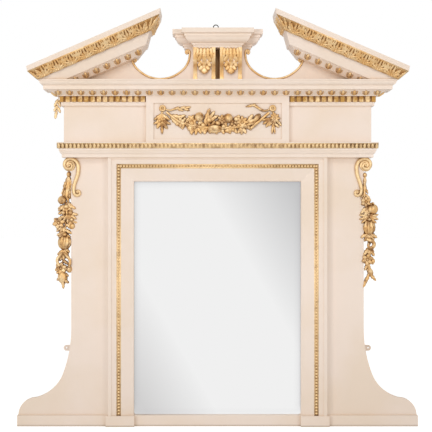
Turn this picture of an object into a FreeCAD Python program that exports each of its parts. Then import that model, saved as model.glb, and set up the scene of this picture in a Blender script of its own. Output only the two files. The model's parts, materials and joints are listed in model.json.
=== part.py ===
import FreeCAD, Part
import math
import os
import Sketcher

# Painted and parcel-gilt overmantel mirror with a broken pediment.
# X runs to the right, Y towards the wall and Z up. Depths are measured forward from the wall plane.

doc = FreeCAD.newDocument("OvermantelMirror")
sheet = doc.addObject("Spreadsheet::Sheet", "Sizes")

SIZES = {
    # Plinth along the mantel shelf
    "plinth_height": 44,
    "plinth_lap": 3,
    "plinth_depth": 60,
    "plinth_round": 4,
    "plinth_block_depth": 78,
    "plinth_block_lap": 9,
    "plinth_block_inset": 2,
    "plinth_centre_depth": 58,
    # Carcase behind the show wood
    "carcase": 20,
    "stile_clearance": 4,
    "stile_width": 60,
    "batten_set_in": 4,
    "batten_width": 46,
    "rail_height": 66,
    # Wings with flared feet
    "wing_set_in": 26,
    "wing_depth": 45,
    "flare_start": 395,
    "flare_radius": 520,
    "knee_out": 31,
    "knee_height": 217,
    "hollow_radius": 160,
    "toe_out": 143,
    "toe_radius": 70,
    "cove_width": 42,
    "cove_depth": 15,
    "cove_radius": 46,
    # Moulded frame round the plate
    "sight_half_width": 336,
    "sight_top": 985,
    "frame_width": 104,
    "frame_head_width": 96,
    "frame_depth": 75,
    "outer_fillet": 14,
    "quirk": 4,
    "bead_inset": 52,
    "bead_width": 18,
    "bead_seat": 63,
    "bead_edge": 3,
    "bead_radius": 11,
    "bead_shoulder": 66,
    "sight_bead": 8,
    "sight_bead_depth": 53,
    "sight_bead_radius": 7,
    "sight_edge_depth": 47,
    # Plate, blocks and backboard
    "rabbet": 10,
    "rabbet_depth": 40,
    "plate_clearance": 1,
    "plate_thickness": 5,
    "block_width": 16,
    "block_length": 60,
    "backboard_lap": 26,
    "backboard_thickness": 12,
    "screw_inset": 13,
    "screw_radius": 2.5,
    "screw_head_radius": 5,
    "screw_head": 3,
    "screw_bite": 12,
    # Lower cornice
    "lower_fascia": 12,
    "lower_fascia_out": 8,
    "lower_cove": 14,
    "lower_cove_out": 16,
    "lower_cove_radius": 16,
    "lower_band": 9,
    "lower_band_out": 19,
    "leaf_seat_out": 14,
    "leaf_height": 21,
    "leaf_radius": 24,
    "lower_fillet": 4,
    "lower_fillet_out": 26,
    # Frieze and tablet
    "frieze_half_width": 616,
    "frieze_depth": 75,
    "frieze_height": 184,
    "frieze_thickness": 30,
    "frieze_rail_height": 80,
    "tablet_half_width": 286,
    "tablet_thickness": 20,
    "field_half_width": 256,
    "field_low": 12,
    "field_high": 156,
    "field_sink": 6,
    # Dentils
    "fillet_height": 15,
    "fillet_out": 11,
    "dentil_height": 23,
    "dentil_ground": 8,
    "dentil_out": 16,
    "dentil_width": 16,
    "dentil_end_gap": 5,
    "dentil_count": 14,
    "return_dentil_count": 3,
    # Egg moulding and corona
    "egg_bed_height": 22,
    "egg_lip": 3,
    "egg_bed_low_out": 24,
    "egg_bed_high_out": 58,
    "egg_row_out": 18,
    "egg_count": 29,
    "return_egg_count": 2,
    "return_egg_start": 28,
    "egg_half_width": 12,
    "egg_half_length": 15,
    "egg_rise": 7,
    "egg_taper": 35,
    "corona_height": 38,
    "corona_out": 74,
    "corona_fascia": 16,
    "corona_step": 3,
    "corona_top_out": 91,
    "corona_top": 6,
    "corona_cove_radius": 18,
    # Raking cornices
    "rake_angle": 23.4,
    "rake_tip_rise": 46,
    "rake_inner": 225,
    "rake_front": 208,
    "rake_fillet": 19,
    "rake_fillet_slope": 4,
    "rake_leaf": 40,
    "rake_leaf_low": 170,
    "rake_leaf_seat": 14,
    "rake_leaf_radius": 32,
    "rake_leaf_start": 30,
    "rake_corona": 41,
    "rake_corona_front": 164,
    "rake_corona_low": 150,
    "rake_ovolo": 25,
    "rake_ovolo_front": 143,
    "rake_ovolo_low": 112,
    "rake_egg_count": 7,
    "rake_egg_start": 152,
    # Tympanum and its scooped gaps
    "tympanum_back": 43,
    "tympanum_depth": 65,
    "scoop_centre": 229,
    "scoop_half_width": 113,
    "scoop_rise": 95,
    "scoop_side_radius": 80,
    "scoop_floor": 15,
    "scoop_tip": 338,
    "scoop_edge": 8,
    "scoop_edge_rise": 4,
    "scoop_ball": 9,
    "scoop_ball_rise": 8,
    "scoop_ball_drop": 8,
    # Pedestal with consoles and cap
    "console_half_width": 97,
    "console_slot": 18,
    "console_height": 133,
    "console_top_depth": 105,
    "console_block": 26,
    "console_waist_height": 60,
    "console_waist_depth": 89,
    "console_foot_depth": 84,
    "console_curve": 70,
    "pedestal_backing": 30,
    "console_edge": 15,
    "console_edge_rise": 3,
    "console_leaf_half_width": 27,
    "console_leaf_height": 106,
    "console_leaf_rise": 8,
    "cap_height": 72,
    "cap_back": 12,
    "cap_half_width": 134,
    "cap_fascia": 10,
    "cap_step": 6,
    "cap_cove": 25,
    "cap_cove_out": 32,
    "cap_cove_radius": 30,
    "cap_band_out": 36,
    "cap_band": 9,
    "cap_fillet_out": 46,
    "cap_fillet_rise": 4,
    # Scrolls, garlands and small carving
    "scroll_out": 2,
    "scroll_fall": 35,
    "scroll_radius": 27,
    "scroll_low_in": 31,
    "scroll_low_fall": 108,
    "scroll_low_radius": 14.5,
    "scroll_rise": 16,
    "scroll_arm_in": 41,
    "scroll_arm_fall": 24,
    "scroll_arm_width": 14,
    "scroll_arm_radius": 50,
    "scroll_arm_sweep": 90,
    "scroll_eye": 10,
    "scroll_eye_rise": 4,
    "carving_sides": 6,
    "carving_nose": 0.45,
    "rosette_across": 220,
    "rosette_height": 123,
    "rosette_radius": 14,
    "rosette_rise": 9,
    "rosette_eye": 6,
    "rosette_eye_rise": 4,
    "garland_depth": 42,
    # Wall lugs and hanger
    "lug_thickness": 3,
    "lug_let_in": 30,
    "lug_reach": 23,
    "lug_low": 298,
    "lug_high": 322,
    "lug_hole_radius": 2.75,
    "hanger_offset": -6,
    "hanger_strap_width": 18,
    "hanger_strap_length": 50,
    "hanger_strap_thickness": 2,
    "hanger_axis_rise": 12,
    "hanger_knuckle_radius": 4,
    "hanger_knuckle_length": 12,
    "hanger_screw_top": 20,
    "hanger_screw_pitch": 18,
    "hanger_screw_radius": 1.75,
    "hanger_screw_head": 3.5,
    "hanger_screw_head_rise": 2,
    "hanger_screw_bite": 14,
    "ring_wire": 2,
    "ring_clearance": 0.4,
    "ring_stand_off": 0.5,
    "ring_half_width": 10,
    "ring_side": 10,
    # Room past a face that a cut runs out to
    "spare": 5,
}

for row, (alias, millimetres) in enumerate(SIZES.items(), start=1):
    sheet.set(f"A{row}", alias.replace("_", " "))
    sheet.set(f"B{row}", str(millimetres))
    sheet.setAlias(f"B{row}", alias)
doc.recompute()


class Measure:
    """A number together with the sheet formula that gives it."""

    def __init__(self, formula, value):
        self.formula = formula
        self.value = value

    def __add__(self, other):
        other = measure(other)
        return Measure(f"({self.formula} + {other.formula})", self.value + other.value)

    def __sub__(self, other):
        other = measure(other)
        return Measure(f"({self.formula} - {other.formula})", self.value - other.value)

    def __mul__(self, other):
        other = measure(other)
        return Measure(f"({self.formula} * {other.formula})", self.value * other.value)

    def __truediv__(self, other):
        other = measure(other)
        return Measure(f"({self.formula} / {other.formula})", self.value / other.value)

    def __rsub__(self, other):
        return measure(other) - self

    def __neg__(self):
        return self * -1

    __radd__ = __add__
    __rmul__ = __mul__


class SheetSizes:
    """Gives each cell of the sheet as a Measure, by its alias."""

    def __getattr__(self, alias):
        return Measure(f"Sizes.{alias}", float(getattr(sheet, alias)))


def measure(number):
    if isinstance(number, Measure):
        return number
    return Measure(f"({number})", float(number))


def root(number):
    return Measure(f"sqrt({number.formula})", math.sqrt(number.value))


size = SheetSizes()
SIDES = ((-1, "left"), (1, "right"))

# Places that several pieces share
wall = size.rake_front / 2
rake_cos = Measure("cos(Sizes.rake_angle * 1 deg)", math.cos(math.radians(size.rake_angle.value)))
rake_sin = Measure("sin(Sizes.rake_angle * 1 deg)", math.sin(math.radians(size.rake_angle.value)))
frame_outer = size.sight_half_width + size.frame_width
frame_top = size.sight_top + size.frame_head_width
block_outer = frame_outer + size.plinth_block_lap
block_inner = size.sight_half_width - size.plinth_block_inset
backboard_half = size.sight_half_width + size.rabbet + size.backboard_lap
lower_cornice_top = (frame_top + size.lower_fascia + size.lower_cove + size.lower_band
                     + size.leaf_height + size.lower_fillet)
frieze_top = lower_cornice_top + size.frieze_height
egg_bed_top = frieze_top + size.egg_bed_height
cornice_top = egg_bed_top + size.corona_height
rake_depth = size.rake_fillet + size.rake_leaf + size.rake_corona + size.rake_ovolo
rake_tip = size.frieze_half_width + size.rake_front - size.frieze_depth
rake_run = rake_tip - size.rake_inner
rake_tip_height = cornice_top + size.rake_tip_rise
wing_edge = size.frieze_half_width - size.wing_set_in
toe_across = wing_edge + size.toe_out
plinth_end = toe_across + size.toe_radius + size.plinth_lap
batten_outer = wing_edge - size.batten_set_in
batten_inner = batten_outer - size.batten_width
lug_inner = batten_outer - size.lug_let_in
lug_hole_across = wing_edge + size.lug_reach
console_top = cornice_top + size.console_height
cap_top = console_top + size.cap_height


def corner(point):
    """An outline's corner: across, up, and the radius and turn of the arc that arrives there."""
    across, up, radius, turn = (tuple(point) + (None, 0))[:4]
    return measure(across), measure(up), None if radius is None else measure(radius), turn


def mirrored(points, side):
    """The outline on the right side, or its mirror image on the left."""
    return [(measure(p[0]) * side,) + tuple(p[1:3]) + tuple(turn * side for turn in p[3:]) for p in points]


def forward(points):
    """The outline with its first coordinate a depth in front of the wall."""
    return [(-measure(p[0]),) + tuple(p[1:3]) + tuple(-turn for turn in p[3:]) for p in points]


def in_plan(points):
    """The outline with its second coordinate a depth in front of the wall."""
    return [(p[0], -measure(p[1])) + tuple(p[2:3]) + tuple(-turn for turn in p[3:]) for p in points]


def rectangle(left, low, right, high):
    return [(left, low), (right, low), (right, high), (left, high)]


def span(side, inner, outer):
    """The left and right ends of a piece that lies between two half widths."""
    inner, outer = measure(inner), measure(outer)
    return (inner, outer) if side > 0 else (-outer, -inner)


def start_body(label):
    body = doc.addObject("PartDesign::Body", label)
    body.Label = label
    body.AllowCompound = True
    body.setExpression("Placement.Base.y", wall.formula)
    return body


def add_edge(sketch, start, end):
    """Adds a straight or round edge and gives its number with its first and last point's numbers."""
    first = FreeCAD.Vector(start[0].value, start[1].value, 0)
    last = FreeCAD.Vector(end[0].value, end[1].value, 0)
    if end[2] is None:
        return sketch.addGeometry(Part.LineSegment(first, last)), 1, 2
    chord = last - first
    reach = math.sqrt(end[2].value ** 2 - (chord.Length / 2) ** 2)
    aside = FreeCAD.Vector(-chord.y, chord.x, 0).normalize() * end[3] * reach
    centre = (first + last) / 2 + aside
    begin, finish = (first, last) if end[3] > 0 else (last, first)
    begin_angle = math.atan2(begin.y - centre.y, begin.x - centre.x)
    finish_angle = math.atan2(finish.y - centre.y, finish.x - centre.x)
    if finish_angle < begin_angle:
        finish_angle += 2 * math.pi
    circle = Part.Circle(centre, FreeCAD.Vector(0, 0, 1), end[2].value)
    edge = sketch.addGeometry(Part.ArcOfCircle(circle, begin_angle, finish_angle))
    return (edge, 1, 2) if end[3] > 0 else (edge, 2, 1)


def bind(sketch, constraint, length):
    """Adds a constraint whose value follows the sheet."""
    place = sketch.addConstraint(constraint)
    sketch.setExpression(f"Constraints[{place}]", length.formula)


def add_outline(sketch, points):
    corners = [corner(point) for point in points]
    edges = [add_edge(sketch, corners[index - 1], end) for index, end in enumerate(corners)]
    for index, (edge, first, last) in enumerate(edges):
        before, _, joint = edges[index - 1]
        sketch.addConstraint(Sketcher.Constraint("Coincident", before, joint, edge, first))
    for (edge, first, last), (across, up, radius, turn) in zip(edges, corners):
        bind(sketch, Sketcher.Constraint("DistanceX", -1, 1, edge, last, across.value), across)
        bind(sketch, Sketcher.Constraint("DistanceY", -1, 1, edge, last, up.value), up)
        if radius is not None:
            bind(sketch, Sketcher.Constraint("Radius", edge, radius.value), radius)


def add_circle(sketch, across, up, radius):
    across, up, radius = measure(across), measure(up), measure(radius)
    centre = FreeCAD.Vector(across.value, up.value, 0)
    edge = sketch.addGeometry(Part.Circle(centre, FreeCAD.Vector(0, 0, 1), radius.value))
    bind(sketch, Sketcher.Constraint("DistanceX", -1, 1, edge, 3, across.value), across)
    bind(sketch, Sketcher.Constraint("DistanceY", -1, 1, edge, 3, up.value), up)
    bind(sketch, Sketcher.Constraint("Radius", edge, radius.value), radius)


def origin_feature(body, role):
    return next(feature for feature in body.Origin.OriginFeatures if feature.Role == role)


def draw(body, role, outlines, lift=0, circles=()):
    """A sketch on one of the body's origin planes, lifted along the plane's normal."""
    sketch = body.newObject("Sketcher::SketchObject", "Outline")
    sketch.AttachmentSupport = [(origin_feature(body, role), "")]
    sketch.MapMode = "FlatFace"
    sketch.setExpression("AttachmentOffset.Base.z", measure(lift).formula)
    for points in outlines:
        add_outline(sketch, points)
    for circle in circles:
        add_circle(sketch, *circle)
    return sketch


def pad(body, sketch, length):
    feature = body.newObject("PartDesign::Pad", "Pad")
    feature.Profile = sketch
    feature.setExpression("Length", measure(length).formula)
    return feature


def cut(body, sketch, length=None):
    """Cuts along the sketch's normal, right through or to a length."""
    feature = body.newObject("PartDesign::Pocket", "Cut")
    feature.Profile = sketch
    feature.Reversed = True
    if length is None:
        feature.Type = "ThroughAll"
    else:
        feature.setExpression("Length", measure(length).formula)
    return feature


def repeat(body, feature, role, count, pitch, backwards=False):
    row = body.newObject("PartDesign::LinearPattern", "Row")
    row.Originals = [feature]
    row.Direction = (origin_feature(body, role), [""])
    row.Reversed = backwards
    row.setExpression("Occurrences", measure(count).formula)
    row.setExpression("Length", (measure(pitch) * (measure(count) - 1)).formula)
    body.Tip = row
    return row


def board(label, outlines, back, front, circles=()):
    """A piece cut to a front outline, between two depths."""
    body = start_body(label)
    pad(body, draw(body, "XZ_Plane", outlines, back, circles), measure(front) - back)
    return body


def post(label, plans, low, high):
    """Upright lengths of the given plan sections."""
    body = start_body(label)
    pad(body, draw(body, "XY_Plane", [in_plan(plan) for plan in plans], low), measure(high) - low)
    return body


def length_of(label, section, left, right):
    """A level length of one moulded section."""
    body = start_body(label)
    pad(body, draw(body, "YZ_Plane", [forward(section)], left), measure(right) - left)
    return body


def returned_ends(profile, core, widest):
    """The waste outside a moulding's returned ends, right and left."""
    far = core + widest + size.spare * 2
    low, high = measure(profile[0][1]), measure(profile[-1][1])
    outline = [(far, low - size.spare), (core + profile[0][0], low - size.spare)]
    outline += [(core + point[0],) + tuple(point[1:]) for point in profile]
    outline += [(core + profile[-1][0], high + size.spare), (far, high + size.spare)]
    return [mirrored(outline, side) for side, hand in SIDES]


def add_moulding(body, profile, core_width, core_depth, back, widest):
    """A board with the profile run along its front and returned on both ends."""
    section = [(core_depth + point[0],) + tuple(point[1:]) for point in profile]
    section += [(back, profile[-1][1]), (back, profile[0][1])]
    half = core_width + widest + size.spare
    pad(body, draw(body, "YZ_Plane", [forward(section)], -half), half * 2)
    cut(body, draw(body, "XZ_Plane", returned_ends(profile, core_width, widest)))


def moulded_board(label, profile, widest):
    body = start_body(label)
    add_moulding(body, profile, size.frieze_half_width, size.frieze_depth, 0, widest)
    return body


# Plinth: two side lengths, two blocks under the frame and the centre length
plinth_section = [(0, 0), (size.plinth_depth, 0), (size.plinth_depth, size.plinth_height - size.plinth_round),
                  (size.plinth_depth - size.plinth_round, size.plinth_height, size.plinth_round, 1),
                  (0, size.plinth_height)]
for side, hand in SIDES:
    length_of(f"plinth_{hand}", plinth_section, *span(side, block_outer, plinth_end))
    left, right = span(side, block_inner, block_outer)
    board(f"plinth_block_{hand}", [rectangle(left, 0, right, size.plinth_height)], 0, size.plinth_block_depth)
board("plinth_centre", [rectangle(-block_inner, 0, block_inner, size.plinth_height)], 0,
      size.plinth_centre_depth)

# Carcase: inner stiles, a rail over them and battens behind the wings' outer edges
rail_low = frame_top - size.rail_height
board("back_rail", [rectangle(-batten_inner, rail_low, batten_inner, frame_top)], 0, size.carcase)
stile_inner = backboard_half + size.stile_clearance
stiles = []
battens = []
notches = []
for side, hand in SIDES:
    left, right = span(side, stile_inner, stile_inner + size.stile_width)
    stiles.append(rectangle(left, size.plinth_height, right, rail_low))
    left, right = span(side, batten_inner, batten_outer)
    battens.append(rectangle(left, size.plinth_height, right, frame_top))
    left, right = span(side, lug_inner, batten_outer + size.spare)
    notches.append(rectangle(left, size.lug_low, right, size.lug_high))
board("back_stiles", stiles, 0, size.carcase)
wing_battens = board("wing_battens", battens, 0, size.carcase)
cut(wing_battens, draw(wing_battens, "XZ_Plane", notches), size.lug_thickness)

# Wings with flared feet, and the coves that fill the angle against the frame
wing_outline = [(frame_outer, size.plinth_height),
                (toe_across + size.toe_radius, size.plinth_height),
                (toe_across, size.plinth_height + size.toe_radius, size.toe_radius, 1),
                (wing_edge + size.knee_out, size.knee_height, size.hollow_radius, -1),
                (wing_edge, size.flare_start, size.flare_radius, -1),
                (wing_edge, frame_top),
                (frame_outer, frame_top)]
cove_plan = [(frame_outer, size.wing_depth), (frame_outer + size.cove_width, size.wing_depth),
             (frame_outer, size.wing_depth + size.cove_depth, size.cove_radius, -1)]
wings = {}
for side, hand in SIDES:
    wings[hand] = board(f"wing_{hand}", [mirrored(wing_outline, side)], size.carcase, size.wing_depth)
post("frame_coves", [mirrored(cove_plan, side) for side, hand in SIDES], size.plinth_height, frame_top)


def frame_section(width, start):
    """The frame's moulding from its rabbet over the front to the sight edge, across from the sight."""
    bead_outer = size.bead_inset + size.bead_width
    shape = [(size.rabbet, size.carcase), (width, size.carcase), (width, size.frame_depth),
             (size.frame_width - size.outer_fillet, size.frame_depth),
             (size.frame_width - size.outer_fillet, size.frame_depth - size.quirk),
             (bead_outer, size.bead_shoulder + 1), (bead_outer, size.bead_seat),
             (size.bead_inset, size.bead_seat), (size.bead_inset, size.bead_shoulder),
             (size.sight_bead, size.sight_bead_depth), (0, size.sight_edge_depth, size.sight_bead_radius, 1),
             (0, size.rabbet_depth), (size.rabbet, size.rabbet_depth)]
    return [(start + p[0],) + tuple(p[1:]) for p in shape]


def bead_section(start):
    """The gilt bead strip that lies in the frame's sunk seat."""
    inner = start + size.bead_inset
    outer = inner + size.bead_width
    return [(inner, size.bead_seat), (outer, size.bead_seat), (outer, size.bead_seat + size.bead_edge),
            (inner, size.bead_seat + size.bead_edge, size.bead_radius, 1)]


def upright(section):
    """A section given across and deep, turned to deep and up for a level length."""
    return [(p[1], p[0]) + tuple(p[2:3]) + tuple(-turn for turn in p[3:]) for p in section]


# Mitres at the frame's two upper corners
mitre_low = (size.sight_half_width - size.spare, size.sight_top - size.spare)
mitre_high = (size.sight_half_width + size.frame_head_width + size.spare, frame_top + size.spare)
stile_waste = [mitre_low, mitre_high, (mitre_low[0], mitre_high[1])]
head_waste = [mitre_low, (frame_outer + size.spare * 2, mitre_low[1]),
              (frame_outer + size.spare * 2, mitre_high[1]), mitre_high]

# Screws through the backboard into the frame
screw_across = size.sight_half_width + size.rabbet + size.screw_inset
side_screws = [size.plinth_height + size.sight_top * share for share in (0.08, 0.5, 0.9)]
head_screws = [size.sight_half_width * share for share in (-0.5, 0.5)]
head_screw_height = size.sight_top + size.rabbet + size.screw_inset


def eight_sided(across, up, radius):
    """The outline of a small screw or of the hole that it fills."""
    corners = [(math.cos(math.pi * step / 4), math.sin(math.pi * step / 4)) for step in range(8)]
    return [(measure(across) + measure(radius) * x, measure(up) + measure(radius) * y) for x, y in corners]


def stile_holes(radius, side):
    return [eight_sided(screw_across * side, height, radius) for height in side_screws]


def head_holes(radius):
    return [eight_sided(across, head_screw_height, radius) for across in head_screws]


def backboard_holes(radius):
    return stile_holes(radius, -1) + stile_holes(radius, 1) + head_holes(radius)


for side, hand in SIDES:
    section = frame_section(size.frame_width, size.sight_half_width)
    stile = post(f"frame_stile_{hand}", [mirrored(section, side)], size.plinth_height, frame_top)
    cut(stile, draw(stile, "XZ_Plane", [mirrored(stile_waste, side)]))
    holes = stile_holes(size.screw_radius, side)
    cut(stile, draw(stile, "XZ_Plane", holes, size.carcase), size.screw_bite)
    section = bead_section(size.sight_half_width)
    strip = post(f"bead_strip_{hand}", [mirrored(section, side)], size.plinth_height, frame_top)
    cut(strip, draw(strip, "XZ_Plane", [mirrored(stile_waste, side)]))

head_parts = (("frame_head", frame_section(size.frame_head_width, size.sight_top)),
              ("bead_strip_top", bead_section(size.sight_top)))
for label, section in head_parts:
    head = length_of(label, upright(section), -frame_outer, frame_outer)
    cut(head, draw(head, "XZ_Plane", [mirrored(head_waste, side) for side, hand in SIDES]))
    if label == "frame_head":
        holes = head_holes(size.screw_radius)
        cut(head, draw(head, "XZ_Plane", holes, size.carcase), size.screw_bite)

# Looking glass, the blocks that wedge it, and the backboard with its screws
plate_half = size.sight_half_width + size.rabbet - size.plate_clearance
plate_back = size.rabbet_depth - size.plate_thickness
board("mirror_plate", [rectangle(-plate_half, size.plinth_height, plate_half,
                                 size.sight_top + size.rabbet - size.plate_clearance)],
      plate_back, size.rabbet_depth)
blocks = []
for side, hand in SIDES:
    rabbet_wall = size.sight_half_width + size.rabbet
    left, right = span(side, rabbet_wall - size.block_width, rabbet_wall)
    for share in (0.12, 0.37, 0.62, 0.87):
        low = size.plinth_height + (size.sight_top - size.plinth_height) * share
        blocks.append(rectangle(left, low, right, low + size.block_length))
    left, right = span(side, plate_half / 2, plate_half / 2 + size.block_length)
    top = size.sight_top + size.rabbet
    blocks.append(rectangle(left, top - size.block_width, right, top))
board("glazing_blocks", blocks, size.carcase, plate_back)
backboard_back = size.carcase - size.backboard_thickness
backboard = board("mirror_backboard",
                  [rectangle(-backboard_half, size.plinth_height, backboard_half,
                             rail_low - size.plate_clearance)],
                  backboard_back, size.carcase)
cut(backboard, draw(backboard, "XZ_Plane", backboard_holes(size.screw_radius)))
screws = board("backboard_screws", backboard_holes(size.screw_radius), backboard_back,
               size.carcase + size.screw_bite)
pad(screws, draw(screws, "XZ_Plane", backboard_holes(size.screw_head_radius),
                 backboard_back - size.screw_head), size.screw_head)

# Lower cornice, a moulded board over wings and frame, with its carved leaf strip let in
fascia_top = frame_top + size.lower_fascia
cove_top = fascia_top + size.lower_cove
leaf_low = cove_top + size.lower_band
leaf_high = leaf_low + size.leaf_height
lower_profile = [(size.lower_fascia_out, frame_top), (size.lower_fascia_out, fascia_top),
                 (size.lower_cove_out, cove_top, size.lower_cove_radius, 1),
                 (size.lower_band_out, cove_top), (size.lower_band_out, leaf_low),
                 (size.leaf_seat_out, leaf_low), (size.leaf_seat_out, leaf_high),
                 (size.lower_fillet_out, leaf_high), (size.lower_fillet_out, lower_cornice_top)]
moulded_board("lower_cornice", lower_profile, size.lower_fillet_out)
leaf_profile = [(size.lower_band_out, leaf_low), (size.lower_fillet_out, leaf_high, size.leaf_radius, -1)]
leaf_strip = moulded_board("lower_leaf_strip", leaf_profile, size.lower_fillet_out)
core_half = size.frieze_half_width + size.leaf_seat_out
core = rectangle(-core_half, -size.spare, core_half, size.frieze_depth + size.leaf_seat_out)
cut(leaf_strip, draw(leaf_strip, "XY_Plane", [in_plan(core)]))

# Frieze box: face board, two ends and a rail behind for hanging
board("frieze_board",
      [rectangle(-size.frieze_half_width, lower_cornice_top, size.frieze_half_width, frieze_top)],
      size.frieze_depth - size.frieze_thickness, size.frieze_depth)
end_inner = size.frieze_half_width - size.frieze_thickness
frieze_ends = []
for side, hand in SIDES:
    left, right = span(side, end_inner, size.frieze_half_width)
    frieze_ends.append(rectangle(left, lower_cornice_top, right, frieze_top))
board("frieze_ends", frieze_ends, 0, size.frieze_depth - size.frieze_thickness)
board("frieze_rail", [rectangle(-end_inner, frieze_top - size.frieze_rail_height, end_inner, frieze_top)],
      0, size.carcase)

# Tablet with its sunk field
tablet_front = size.frieze_depth + size.tablet_thickness
tablet = board("frieze_tablet", [rectangle(-size.tablet_half_width, lower_cornice_top,
                                           size.tablet_half_width, frieze_top)],
               size.frieze_depth, tablet_front)
field = rectangle(-size.field_half_width, lower_cornice_top + size.field_low,
                  size.field_half_width, lower_cornice_top + size.field_high)
field_depth = tablet_front - size.field_sink
cut(tablet, draw(tablet, "XZ_Plane", [field], field_depth), size.field_sink)


def wrapped_strip(out):
    """Plan of a strip on the frieze from the tablet to the corner and back along the end."""
    return [(size.tablet_half_width, size.frieze_depth), (size.tablet_half_width, size.frieze_depth + out),
            (size.frieze_half_width + out, size.frieze_depth + out), (size.frieze_half_width + out, 0),
            (size.frieze_half_width, 0), (size.frieze_half_width, size.frieze_depth)]


# Fillets and dentil courses left and right of the tablet
dentil_run = size.frieze_half_width + size.dentil_out - size.tablet_half_width - size.dentil_end_gap
dentil_pitch = (dentil_run - size.dentil_width) / (size.dentil_count - 1)
return_pitch = (size.frieze_depth + size.dentil_out - size.dentil_width) / size.return_dentil_count
fillet_low = frieze_top - size.dentil_height - size.fillet_height
dentil_low = frieze_top - size.dentil_height
post("frieze_fillets", [mirrored(wrapped_strip(size.fillet_out), side) for side, hand in SIDES],
     fillet_low, dentil_low)
for side, hand in SIDES:
    ground = mirrored(wrapped_strip(size.dentil_ground), side)
    course = post(f"dentil_course_{hand}", [ground], dentil_low, frieze_top)
    outer = size.frieze_half_width + size.dentil_out
    front = size.frieze_depth + size.dentil_out
    tooth = [(outer - size.dentil_width, front - size.dentil_out), (outer, front - size.dentil_out),
             (outer, front), (outer - size.dentil_width, front)]
    sketch = draw(course, "XY_Plane", [mirrored(in_plan(tooth), side)], dentil_low)
    teeth = pad(course, sketch, size.dentil_height)
    repeat(course, teeth, "X_Axis", size.dentil_count, dentil_pitch, side > 0)
    near = front - return_pitch
    tooth = rectangle(size.frieze_half_width, near - size.dentil_width, outer, near)
    sketch = draw(course, "XY_Plane", [mirrored(in_plan(tooth), side)], dentil_low)
    teeth = pad(course, sketch, size.dentil_height)
    repeat(course, teeth, "Y_Axis", size.return_dentil_count, return_pitch)

# Egg moulding's sunk bed and the corona board over it
egg_low = frieze_top + size.egg_lip
egg_profile = [(size.egg_bed_low_out, frieze_top), (size.egg_bed_low_out, egg_low),
               (size.egg_bed_high_out, egg_bed_top)]
moulded_board("egg_bed", egg_profile, size.egg_bed_high_out)
corona_fascia_top = egg_bed_top + size.corona_fascia
corona_cove_low = size.corona_out + size.corona_step
corona_profile = [(size.corona_out, egg_bed_top), (size.corona_out, corona_fascia_top),
                  (corona_cove_low, corona_fascia_top),
                  (size.corona_top_out - size.corona_step, cornice_top - size.corona_top,
                   size.corona_cove_radius, 1),
                  (size.corona_top_out, cornice_top - size.corona_top), (size.corona_top_out, cornice_top)]
moulded_board("upper_corona", corona_profile, size.corona_top_out)


half_row = size.frieze_half_width + size.egg_row_out
egg_pitch = half_row * 2 / (size.egg_count - 1)


def egg_row(label, low, high, first, count, backwards=False):
    """Carved eggs on a sloping bed that rises from its low edge to its high edge, as (depth, height)."""
    body = start_body(label)
    rise = measure(high[1]) - low[1]
    reach = measure(high[0]) - low[0]
    middle_depth = (measure(low[0]) + high[0]) / 2
    middle_height = (measure(low[1]) + high[1]) / 2
    wide, long = size.egg_half_width, size.egg_half_length
    across = measure(first)
    outline = [(across + wide * x, long * y) for x, y in
               ((1, -0.4), (1, 0.4), (0.5, 1), (-0.5, 1), (-1, 0.4), (-1, -0.4), (-0.5, -1), (0.5, -1))]
    sketch = draw(body, "XY_Plane", [outline])
    tilt = math.degrees(math.atan2(rise.value, reach.value))
    sketch.AttachmentOffset = FreeCAD.Placement(
        FreeCAD.Vector(0, -middle_depth.value, middle_height.value),
        FreeCAD.Rotation(FreeCAD.Vector(1, 0, 0), 180 - tilt))
    sketch.setExpression("AttachmentOffset.Base.y", (-middle_depth).formula)
    sketch.setExpression("AttachmentOffset.Base.z", middle_height.formula)
    sketch.setExpression("AttachmentOffset.Rotation.Angle", f"180 deg - atan({(rise / reach).formula})")
    egg = pad(body, sketch, size.egg_rise)
    egg.setExpression("TaperAngle", f"-{size.egg_taper.formula} * 1 deg")
    repeat(body, egg, "X_Axis", count, egg_pitch, backwards)
    return body


def group(label, bodies):
    compound = doc.addObject("Part::Compound", label)
    compound.Label = label
    compound.Links = bodies
    return compound


def turned(body, degrees):
    """Turns a front row round to one of the object's ends."""
    body.Placement = FreeCAD.Placement(FreeCAD.Vector(0, wall.value, 0),
                                       FreeCAD.Rotation(FreeCAD.Vector(0, 0, 1), degrees))
    body.setExpression("Placement.Base.y", wall.formula)
    return body


front_low = (size.frieze_depth + size.egg_bed_low_out, egg_low)
front_high = (size.frieze_depth + size.egg_bed_high_out, egg_bed_top)
end_low = (size.frieze_half_width + size.egg_bed_low_out, egg_low)
end_high = (size.frieze_half_width + size.egg_bed_high_out, egg_bed_top)
end_start = size.return_egg_start
group("cornice_eggs", [
    egg_row("eggs_front", front_low, front_high, -half_row, size.egg_count),
    turned(egg_row("eggs_right", end_low, end_high, -end_start, size.return_egg_count, True), 90),
    turned(egg_row("eggs_left", end_low, end_high, end_start, size.return_egg_count), -90)])

# Raking cornices. Along the slope u runs up from the tip and fall is square below the top edge.
fall_fillet = size.rake_fillet
fall_leaf = fall_fillet + size.rake_leaf
fall_corona = fall_leaf + size.rake_corona
fillet_low_front = size.rake_front - size.rake_fillet_slope
leaf_seat_high = fillet_low_front - size.rake_leaf_seat
leaf_seat_low = size.rake_leaf_low - size.rake_leaf_seat
leaf_mid_fall = fall_fillet + size.rake_leaf / 2
leaf_mid_front = (fillet_low_front + size.rake_leaf_low) / 2
cornice_faces = [(size.rake_front, 0), (fillet_low_front, fall_fillet), (leaf_mid_front, leaf_mid_fall),
                 (size.rake_leaf_low, fall_leaf), (size.rake_corona_front, fall_leaf),
                 (size.rake_corona_low, fall_corona), (size.rake_ovolo_front, fall_corona),
                 (size.rake_ovolo_low, rake_depth)]
rake_length = rake_run / rake_cos


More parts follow.
